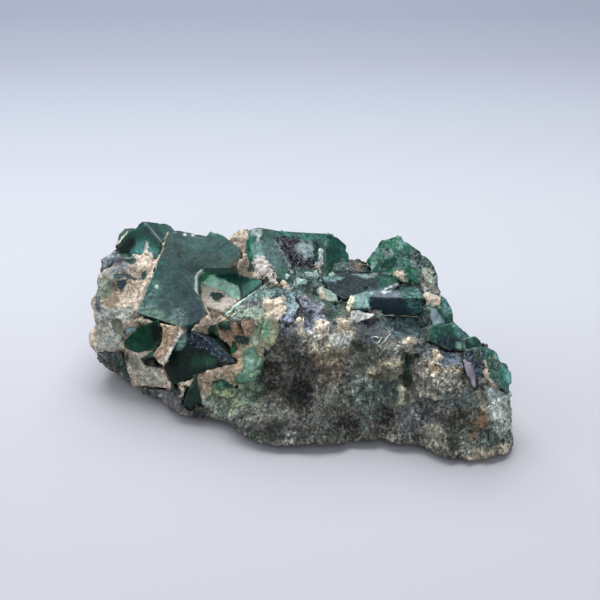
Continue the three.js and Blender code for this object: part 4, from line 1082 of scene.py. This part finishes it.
rockLook = {
    "blotchSize": 5.0, "patchSize": 3.0, "driftSize": 7.0, "fibreSize": 1.0, "crumbSize": 1.7, "bend": 2.0,
    "broadFlakeSize": 2.0, "flakeSize": 0.8, "warm": 0.22, "cool": 0.32,
}
rockShape = {
    "voxel": 0.7, "grow": 0.3, "bank": 6.0, "lumps": 1.4, "crumble": 1.0, "grain": 0.9, "base": "#66655d",
    "busy": 0.9, "ragged": 1.1,
    "marks": areas({"facing": towardsCamera, "reach": 12.0, "soft": 3.0},
        # left end
        area("#8497a2", (101, 275), (104, 257), (112, 249), (120, 247), (127, 256), (122, 262), (112, 268),
             (108, 276), soft=1.5, grain=0.5),
        area("#3b4e56", (104, 264), (112, 254), (120, 252), (124, 257), (112, 264), soft=2.5),
        area("#2f323b", (94, 346), (118, 346), (127, 349), (118, 356), (112, 368), (98, 362), soft=1.5),
        area("#6f7478", (93, 346), (105, 346), (107, 360), (96, 362)),
        area("#10322c", (111, 367), (121, 353), (127, 360), (134, 380), (112, 371), soft=1.5),
        area("#676970", (152, 391), (172, 386), (180, 399), (186, 414), (166, 407), soft=1.5, grain=0.4),
        # painted shade: these two near black strips along the lower left edge stand for the shadow under the
        # stone
        area("#061c16", (134, 384), (146, 388), (158, 399), (150, 402), soft=1.5),
        area("#14171c", (186, 402), (202, 400), (206, 420), (192, 418), soft=2.0),
        area(None, (94, 350), (108, 350), (116, 378), (100, 372), height=2.0, along=(-60, 5),
             facing=(-60, 5)),
        # pale lumps under the clay
        area("#8fa093", (203, 401), (232, 402), (232, 424), (212, 414), grain=0.45, height=1.0),
        area("#77866f", (214, 392), (232, 388), (248, 394), (252, 408), (238, 418), (220, 410), grain=0.55,
             height=1.0),
        area("#607565", (236, 384), (258, 372), (266, 392), (254, 408), (240, 400), grain=0.5),
        area("#656763", (228, 418), (260, 406), (300, 414), (304, 440), (262, 448), (240, 438), soft=4.0,
             grain=0.7),
        area("#2a4630", (246, 432), (257, 432), (257, 440), (247, 440), soft=1.5),
        area("#2b2d2c", (262, 426), (284, 424), (286, 440), (266, 442), height=-1.0),
        area("#6c6f67", (268, 408), (284, 406), (284, 420), (270, 422)),
        # light green rim beside the clay
        area("#cccfb4", (253, 315), (269, 319), (279, 326), (276, 340), (266, 352), (256, 348), (256, 330),
             soft=1.2, grain=0.4, height=0.8),
        area("#479077", (262, 322), (268, 324), (266, 334), (260, 332), soft=1.5),
        # a hollow painted near black, painted shade inside it
        area("#1a1e1a", (258, 364), (276, 366), (280, 396), (266, 396), (260, 382), height=-2.5),
        area("#6a707e", (278, 318), (300, 314), (302, 338), (284, 342), grain=0.7),
        area("#8d9192", (288, 322), (301, 322), (301, 337), (288, 337)),
        area("#42413e", (274, 338), (300, 336), (300, 372), (280, 366), soft=4.0),
        area("#2f2f2b", (262, 350), (282, 346), (304, 356), (312, 392), (300, 410), (270, 402), soft=5.0,
             strength=0.8),
        # grey purple area and cream clumps under the plate
        area("#8b93a6", (296, 292), (318, 298), (330, 322), (318, 336), (300, 330), soft=4.0, grain=0.7),
        area("#3d4553", (304, 310), (314, 306), (316, 318), (308, 322), soft=2.5),
        area("#f2f4e7", (297, 315), (304, 315), (306, 336), (298, 336), soft=1.5, height=0.7),
        area("#eae6d9", (314, 322), (328, 320), (330, 338), (318, 340), soft=2.0, height=0.9),
        area("#bcb7a7", (302, 332), (352, 332), (350, 350), (310, 356), soft=4.0, grain=0.6, height=0.6),
        area("#d8dfdb", (332, 334), (352, 336), (350, 346), (334, 346), grain=0.4),
        area("#978c75", (308, 350), (346, 350), (346, 366), (312, 368), soft=5.0, grain=0.7),
        area("#63594f", (316, 364), (348, 364), (344, 388), (318, 388), soft=5.0),
        area("#4e4b44", (300, 356), (314, 356), (314, 388), (302, 388), soft=4.0, height=-1.0),
        # a hollow painted near black, painted shade inside it
        area("#15181a", (295, 392), (304, 384), (313, 392), (311, 407), (299, 410), soft=5.0, height=-2.5,
             ragged=2.5),
        area("#646861", (314, 388), (346, 386), (344, 412), (316, 414), soft=5.0, grain=0.8),
        area("#424742", (300, 412), (342, 414), (342, 438), (304, 438), soft=5.0),
        # middle block: hollow, ledge and green tinted face
        area("#626960", (351, 345), (378, 345), (378, 368), (354, 372), soft=2.5, grain=0.35, height=-1.5),
        area("#8f8e7b", (370, 371), (384, 361), (404, 358), (402, 378), (390, 384), (374, 379), soft=1.0,
             grain=0.5, height=2.4),
        area("#99927c", (368, 370), (385, 360), (404, 356), (404, 360), (386, 364), (370, 374), soft=1.0),
        area("#414127", (371, 374), (382, 372), (382, 380), (374, 380), soft=1.5),
        area("#65746e", (351, 374), (374, 380), (398, 384), (398, 402), (352, 402), soft=3.5, grain=0.6),
        area("#829085", (354, 398), (398, 400), (398, 412), (356, 410), grain=0.6),
        # a crevice painted dark, painted shade in the inner corner
        area("#223f38", (405, 353), (416, 356), (419, 366), (414, 378), (408, 388), (403, 378), (406, 366),
             soft=2.5, height=-3.5, ragged=2.0),
        area("#cbcfb4", (397, 382), (404, 382), (405, 406), (398, 406), soft=1.5, grain=0.3, height=1.0),
        # two hollows painted near black, painted shade inside them
        area("#15181a", (343, 424), (350, 419), (358, 424), (356, 434), (347, 438), soft=5.0, height=-2.5,
             ragged=2.5),
        area("#15181a", (377, 412), (386, 405), (394, 411), (393, 426), (381, 431), soft=5.0, height=-2.5,
             ragged=2.5),
        area("#4a5250", (356, 412), (378, 410), (378, 432), (358, 434), grain=0.7),
        area("#5e5f57", (372, 434), (412, 436), (410, 443), (374, 442), soft=1.5),
        # sandy block with its tan top edge
        area("#919085", (414, 362), (436, 360), (463, 366), (466, 378), (462, 396), (440, 402), (420, 398),
             (413, 384), soft=1.2, height=2.8),
        area("#7d705a", (420, 361), (440, 362), (464, 366), (463, 371), (440, 369), (424, 367), soft=1.0),
        area("#6c7976", (440, 392), (476, 390), (476, 408), (444, 408), soft=3.5, grain=0.35),
        area("#626468", (398, 404), (438, 404), (440, 426), (402, 434), soft=4.0, grain=0.7),
        area("#a5a393", (424, 422), (446, 424), (448, 450), (426, 444), height=0.8),
        area("#414840", (444, 420), (455, 419), (457, 433), (446, 433), soft=2.5, height=-1.2, ragged=2.0),
        area("#434c3f", (448, 432), (460, 434), (460, 450), (450, 450), soft=2.0, height=-1.0),
        area("#8f9189", (466, 440), (482, 440), (482, 452), (468, 454)),
        area("#53574c", (458, 408), (474, 410), (470, 440), (460, 440)),
        area("#8e704f", (482, 409), (492, 411), (482, 432), (472, 444), (470, 432), soft=1.8, grain=0.45,
             height=0.5),
        area("#c1d0c6", (490, 394), (506, 396), (512, 412), (512, 440), (496, 434), (488, 412), grain=0.55),
        area("#c0d3d2", (486, 388), (494, 383), (512, 384), (514, 400), (490, 402), soft=2.0, grain=0.5),
        area("#f2ede6", (494, 402), (500, 400), (504, 420), (496, 420), soft=2.5, strength=0.7, grain=0.3),
        area("#65756c", (478, 432), (496, 428), (500, 444), (480, 450), soft=2.5),
        area("#b8ae9b", (462, 456), (488, 449), (512, 441), (512, 452), (470, 464), soft=1.5, grain=0.6,
             height=1.0),
        # dark slate under the lower cube, purple grey beside it, pale fibres below
        area("#506c73", (376, 314), (428, 316), (430, 338), (392, 336), soft=2.0, grain=0.5),
        area("#414a55", (358, 320), (384, 320), (388, 336), (372, 346), (358, 340), soft=2.5, grain=0.4),
        area("#81857d", (386, 340), (404, 340), (404, 356), (386, 358), grain=0.6),
        area("#6a7576", (414, 334), (432, 336), (432, 356), (418, 356), soft=2.5),
        area("#6d8092", (432, 344), (456, 346), (462, 364), (440, 362), soft=2.5, grain=0.6),
        area("#374450", (456, 348), (484, 350), (488, 396), (466, 394), soft=2.5),
        # saddle between the back block and the ridge
        area("#3a5351", (286, 262), (352, 252), (358, 272), (334, 286), (326, 304), (316, 302), (304, 292),
             (292, 286), soft=2.0, grain=0.6, reach=18.0),
        area("#7b9894", (311, 275), (325, 276), (326, 288), (313, 289), soft=2.0, grain=0.6, reach=18.0),
        area("#31524d", (326, 286), (350, 290), (348, 300), (340, 316), (344, 330), (330, 322), (322, 304),
             soft=1.5, grain=0.5, reach=18.0),
        area("#688c92", (280, 280), (300, 286), (304, 296), (284, 294), soft=2.0, grain=0.6, reach=14.0),
        area("#212f2f", (326, 276), (344, 282), (350, 290), (338, 292), (328, 286), soft=1.5, grain=0.4,
             reach=14.0),
        area("#b8c4c7", (412, 281), (424, 286), (436, 297), (430, 303), (418, 294), soft=1.0, grain=0.6,
             reach=14.0),
        area("#47544b", (348, 266), (352, 256), (366, 254), (369, 273), (352, 273), soft=1.0, reach=18.0),
        area("#68554f", (356, 264), (361, 262), (365, 272), (358, 272), soft=1.0, reach=8.0),
        area("#304e4d", (428, 334), (444, 346), (462, 352), (462, 362), (440, 352), (426, 342), soft=1.5,
             grain=0.5),
    ),
    "crusts": areas({"facing": towardsCamera, "reach": 12.0},
        area(None, (336, 318), (351, 318), (350, 329), (339, 330)),
        area(None, (280, 280), (288, 279), (289, 289), (281, 291)),
        area(None, (404, 337), (415, 336), (414, 344), (404, 343)),
        area(None, (432, 352), (442, 351), (442, 358), (434, 360)),
    ),
}


# The foot of the stone. It swells a little and draws back under its lip towards its middle line, so that the
# base stands in shadow. "lip" is its height over the floor at the places "lipAlong".

rockBase = {
    "lipAlong": (-30, 0, 35, 60), "lip": (2.8, 3.0, 3.0, 1.5), "undercut": 3.0, "deepest": 3, "keep": 0.3,
    "swell": 0.5, "swellBand": 5, "swellFrom": 20,
    "lowBelow": 8, "trimLeft": 25, "trimRight": 14, "slice": 6, "sliceReach": 5,
}


def drawInBase(piece, foot):
    points = pointsOf(piece)
    along, low = points[:, 0], points[points[:, 2] < foot["lowBelow"]]
    slices = np.arange(along.min() + foot["trimLeft"], along.max() - foot["trimRight"], foot["slice"])
    middles = [low[np.abs(low[:, 0] - x) < foot["sliceReach"]][:, 1].mean() for x in slices]
    nearby = np.clip(along, slices[0], slices[-1])
    spine = np.column_stack((nearby, np.interp(nearby, slices, middles)))
    away = points[:, :2] - spine
    distance = np.maximum(np.linalg.norm(away, axis=1), 0.1)
    lip = np.interp(along, foot["lipAlong"], foot["lip"])
    drawn = np.clip(lip - points[:, 2], 0, foot["deepest"]) * foot["undercut"]
    nearLip = smoothStep(1 - np.abs(points[:, 2] - lip) / foot["swellBand"])
    drawn -= nearLip * smoothStep(distance / foot["swellFrom"]) * foot["swell"]
    left = np.maximum(distance - drawn, distance * foot["keep"])
    points[:, :2] = spine + away * (left / distance)[:, None]
    movePoints(piece, points)


rock = copyOfNode("matrix", "massiveRock")
applyModifier(rock, "REMESH", mode="VOXEL", voxel_size=rockShape["voxel"] * mm)
applyModifier(rock, "DISPLACE", strength=rockShape["grow"] * mm, mid_level=0.0)
bankAgainst(rock, grown, rockShape["bank"])
applyModifier(rock, "SMOOTH", factor=0.5, iterations=3)
ground = groundOf(rock, rockShape["ragged"])
tints = tintFrom(ground, rockShape["base"], rockShape["marks"])
crust = coverFrom(ground, rockShape["crusts"])
busy = grainFrom(ground, rockShape["busy"], rockShape["marks"])
raiseMarks(ground, rockShape["marks"])
roughen(rock, "rock lumps", rockShape["lumps"], 0.4)
roughen(rock, "rock crumble", rockShape["crumble"], 0.4)
roughen(rock, "rock grain", rockShape["grain"])
drawInBase(rock, rockBase)
makeActive(rock)
bpy.ops.object.shade_smooth()
setColours(rock, "tint", tints)
setValues(rock, "cover", crust)
setValues(rock, "grain", busy)
finishPiece(rock, massiveFluorite("massive fluorite", rockLook), "matrix")
print("rock", len(rock.data.polygons))


# Small pieces that lie on the others, each placed by what its pixel shows and sunk a little into it

dressed = [piece for piece, out, gap in grown] + [clay, rock]


def seenFirst(pixel):
    start, sight = cameraRay(pixel)
    hits = []
    for piece in dressed:
        found, place, normal, _ = piece.ray_cast(start, sight)
        if found:
            hits.append(((place - start).length, place, normal))
    distance, place, normal = min(hits, key=lambda hit: hit[0])
    return place, normal


def sheetPiece(name, sheet):
    # a filled circle whose points go out to the outline, with its thickness behind it
    out = faceAxes(sheet["facing"])[2]
    place = seenFirst(middleOf(sheet["outline"]))[0] + out * sheet["proud"] * mm
    deselectAll()
    bpy.ops.mesh.primitive_circle_add(vertices=len(sheet["outline"]), radius=mm, fill_type="NGON")
    piece = bpy.context.object
    piece.name = name
    for corner, pixel in zip(piece.data.vertices, sheet["outline"]):
        corner.co = onPlane(pixel, place, out)
    piece.data.update()
    if piece.data.polygons[0].normal.dot(out) < 0:
        bpy.ops.object.mode_set(mode="EDIT")
        bpy.ops.mesh.select_all(action="SELECT")
        bpy.ops.mesh.flip_normals()
        bpy.ops.object.mode_set(mode="OBJECT")
    applyModifier(piece, "SOLIDIFY", thickness=sheet["thick"] * mm, offset=-1.0)
    return piece


def joinParts(name, parts):
    makeActive(parts[0])
    for part in parts:
        part.select_set(True)
    if len(parts) > 1:
        bpy.ops.object.join()
    bpy.ops.object.transform_apply(location=True, rotation=True, scale=True)
    piece = bpy.context.object
    piece.name = name
    return piece


def lumpPiece(name, lumps):
    # round lumps, flattened towards what carries them
    parts = []
    for pixel, size in lumps["at"]:
        place, normal = seenFirst(pixel)
        deselectAll()
        place -= normal * size * lumps["sunk"] * mm
        bpy.ops.mesh.primitive_ico_sphere_add(subdivisions=4, radius=size * mm, location=place)
        bpy.ops.transform.resize(value=lumps["stretch"])
        parts.append(bpy.context.object)
    return joinParts(name, parts)


def blockPiece(name, blocks):
    # cubes with broken corners
    parts = []
    for pixel, size, turn in blocks["at"]:
        place, normal = seenFirst(pixel)
        deselectAll()
        place -= normal * size * blocks["sunk"] * mm
        angles = [math.radians(v) for v in turn]
        bpy.ops.mesh.primitive_cube_add(size=size * mm, location=place, rotation=angles)
        bpy.ops.object.mode_set(mode="EDIT")
        bpy.ops.mesh.bevel(offset=size * blocks["bevel"] * mm, segments=1)
        bpy.ops.object.mode_set(mode="OBJECT")
        parts.append(bpy.context.object)
    return joinParts(name, parts)


def fibrePiece(name, fibres):
    # thin strands that lie on the rock, each through five points of the photograph
    parts = []
    for pixels in fibres["lines"]:
        deselectAll()
        bpy.ops.curve.primitive_nurbs_path_add()
        strand = bpy.context.object
        for i, (point, pixel) in enumerate(zip(strand.data.splines[0].points, pixels)):
            place, normal = seenFirst(pixel)
            point.co = (*(place + back * fibres["thick"] * fibres["proud"] * mm), 1)
            point.radius = fibres["tip"] if i in (0, len(pixels) - 1) else 1.0
        strand.data.bevel_depth = fibres["thick"] / 2 * mm
        strand.data.bevel_resolution = 1
        strand.data.use_fill_caps = True
        bpy.ops.object.convert(target="MESH")
        parts.append(bpy.context.object)
    return joinParts(name, parts)


def weatherClay(piece, shape):
    applyModifier(piece, "REMESH", mode="VOXEL", voxel_size=shape["voxel"] * mm)
    roughen(piece, "clay lumps", shape["lumps"])
    roughen(piece, "clay grain", shape["grain"])
    ground = groundOf(piece, 0.2)
    makeActive(piece)
    bpy.ops.object.shade_smooth()
    setColours(piece, "tint", tintFrom(ground, shape["base"], shape["marks"]))
    setColours(piece, "coverTint", tintFrom(ground, shape["windowBase"], []))
    setValues(piece, "cover", coverFrom(ground, []))


claySlab = {
    "outline": [(162, 324), (173, 326), (184, 327), (180, 337), (172, 351), (164, 366), (159, 363),
                (153, 355), (161, 345), (163, 334)],
    "facing": (5, 30), "thick": 3.0, "proud": 0.5, "voxel": 0.35, "lumps": 0.35, "grain": 0.5,
    "base": "#c9b39c", "windowBase": "#2a5145",
    "marks": [
        area("#f8f4ed", (179, 327), (184, 327), (180, 338), (172, 352), (164, 367), (161, 364), (170, 348),
             (177, 336), soft=0.5, facing=towardsCamera, reach=8.0),
    ],
}
piece = sheetPiece("claySlab", claySlab)
weatherClay(piece, claySlab)
finishPiece(piece, clayMaterial, None)

clayCrumbs = {
    "at": [((344, 324), 2.4), ((339, 321), 1.4), ((284, 283), 1.3), ((285, 288), 1.2), ((276, 284), 0.8),
           ((269, 305), 2.4), ((279, 304), 1.6), ((273, 314), 1.7), ((409, 340), 1.7), ((404, 343), 1.0),
           ((437, 353), 1.7), ((440, 357), 1.3), ((321, 322), 1.7), ((320, 330), 2.0), ((299, 321), 1.2),
           ((301, 327), 1.2), ((302, 333), 1.3), ((318, 268), 1.1)],
    "sunk": 0.35, "stretch": (1.0, 0.85, 0.9), "voxel": 0.35, "lumps": 0.8, "grain": 0.7,
    "base": "#d8ccb8", "windowBase": "#2a5145", "marks": [],
}
piece = lumpPiece("clayCrumbs", clayCrumbs)
weatherClay(piece, clayCrumbs)
finishPiece(piece, clayMaterial, None)

smallCrystals = {
    "paleBlocks": {
        "kind": blockPiece,
        "at": [((298, 284), 3.2, (20, 30, 10)), ((309, 277), 3.4, (10, 15, 40)),
               ((316, 275), 2.8, (35, 10, 70)), ((333, 275), 2.4, (10, 40, 20)),
               ((304, 282), 2.2, (50, 20, 5)), ((287, 277), 2.0, (15, 45, 60))],
        "sunk": 0.1, "bevel": 0.12, "out": (0, 60), "mesh": 0.45, "waves": 0.5, "worn": 2, "base": "#8fa7a1",
        "grain": 0.7,
    },
    "paleKnob": {
        "kind": lumpPiece, "at": [((321, 252), 1.4), ((321, 259), 1.3)],
        "sunk": 0.2, "stretch": (0.9, 0.8, 1.2),
        "out": (0, 40), "mesh": 0.45, "waves": 0.6, "rough": 0.8, "base": "#c3d0cd", "grain": 0.7,
    },
    # a thin lilac blade, its pale lilac partly a painted glint off its flat face
    "lilacBlade": {
        "kind": sheetPiece,
        "outline": [(463, 360), (467, 363), (470, 364), (474, 376), (476, 387), (474, 388), (468, 378),
                    (465, 368)],
        "facing": (-20, 25), "thick": 4.0, "proud": 2.0, "out": (-20, 25), "mesh": 0.45, "waves": 0.15,
        "base": "#a298aa", "grain": 0.15,
    },
    "whiteFlake": {
        "kind": sheetPiece,
        "outline": [(351, 312), (358, 310), (366, 313), (375, 314), (370, 318), (362, 320), (354, 325),
                    (346, 328)],
        "facing": (-15, 45), "thick": 3.5, "proud": 1.2, "out": (-15, 45), "mesh": 0.45, "waves": 0.3,
        "worn": 2, "base": "#c6cac8", "grain": 0.5,
    },
    "creamEdge": {
        "kind": sheetPiece,
        "outline": [(351, 295), (355, 297), (352, 304), (349, 311), (352, 318), (347, 318), (342, 315),
                    (346, 304)],
        "facing": (-40, 45), "thick": 4.5, "proud": 2.4, "out": (-40, 45), "mesh": 0.45, "waves": 0.5,
        "worn": 2, "base": "#d6d3b8", "grain": 0.7,
    },
    "limeRim": {
        "kind": sheetPiece,
        "outline": [(266, 317), (273, 316), (279, 324), (280, 331), (275, 344), (268, 351), (262, 347),
                    (262, 333)],
        "facing": (15, 30), "thick": 5.0, "proud": 1.4, "out": (15, 30), "mesh": 0.5, "waves": 0.8, "worn": 9,
        "base": "#a3a98c", "grain": 0.35,
        "marks": [area("#74a389", (262, 322), (269, 321), (270, 334), (263, 340), soft=2.0)],
    },
    "borderNodules": {
        "kind": lumpPiece,
        "at": [((223, 388), 3.4), ((231, 393), 2.8), ((215, 395), 2.6), ((206, 403), 1.8), ((213, 405), 2.0),
               ((243, 386), 2.2), ((251, 379), 2.0), ((258, 372), 1.6)],
        "sunk": 0.4, "stretch": (1.0, 0.9, 0.9), "out": (0, 30), "mesh": 0.5, "waves": 0.8, "rough": 1.0,
        "worn": 2, "base": "#788970", "grain": 0.6,
        "marks": areas({"facing": towardsCamera, "reach": 8.0},
            area("#2c5744", (212, 384), (222, 377), (234, 385), (230, 391), (216, 391), soft=1.5),
            area("#929e78", (216, 391), (230, 390), (234, 398), (218, 402), soft=2.0),
            area("#a8b2a4", (200, 399), (212, 399), (212, 408), (202, 408), soft=1.0),
            area("#63836d", (238, 380), (262, 368), (262, 378), (246, 392), soft=1.5),
        ),
    },
    "paleFibres": {
        "kind": fibrePiece, "thick": 0.45, "proud": 0.3, "tip": 0.5,
        "lines": [[(383, 343), (385, 341), (387, 338), (389, 335), (391, 333)],
                  [(388, 333), (390, 331), (392, 330), (393, 329), (394, 329)],
                  [(371, 338), (373, 337), (375, 336), (377, 337), (379, 338)],
                  [(376, 344), (378, 343), (380, 341), (381, 339), (382, 337)],
                  [(376, 316), (387, 315), (398, 315), (409, 316), (418, 317)]],
        "out": (0, 30), "mesh": 0.4, "waves": 0.1, "chips": 0.0, "base": "#cfd3cc", "grain": 0.3,
    },
}
for pieceName, shape in smallCrystals.items():
    piece = shape["kind"](pieceName, shape)
    weatherCrystal(piece, shape)
    finishPiece(piece, greenFluorite("pale fluorite " + pieceName, fluoriteLook), None)
print("small pieces placed")
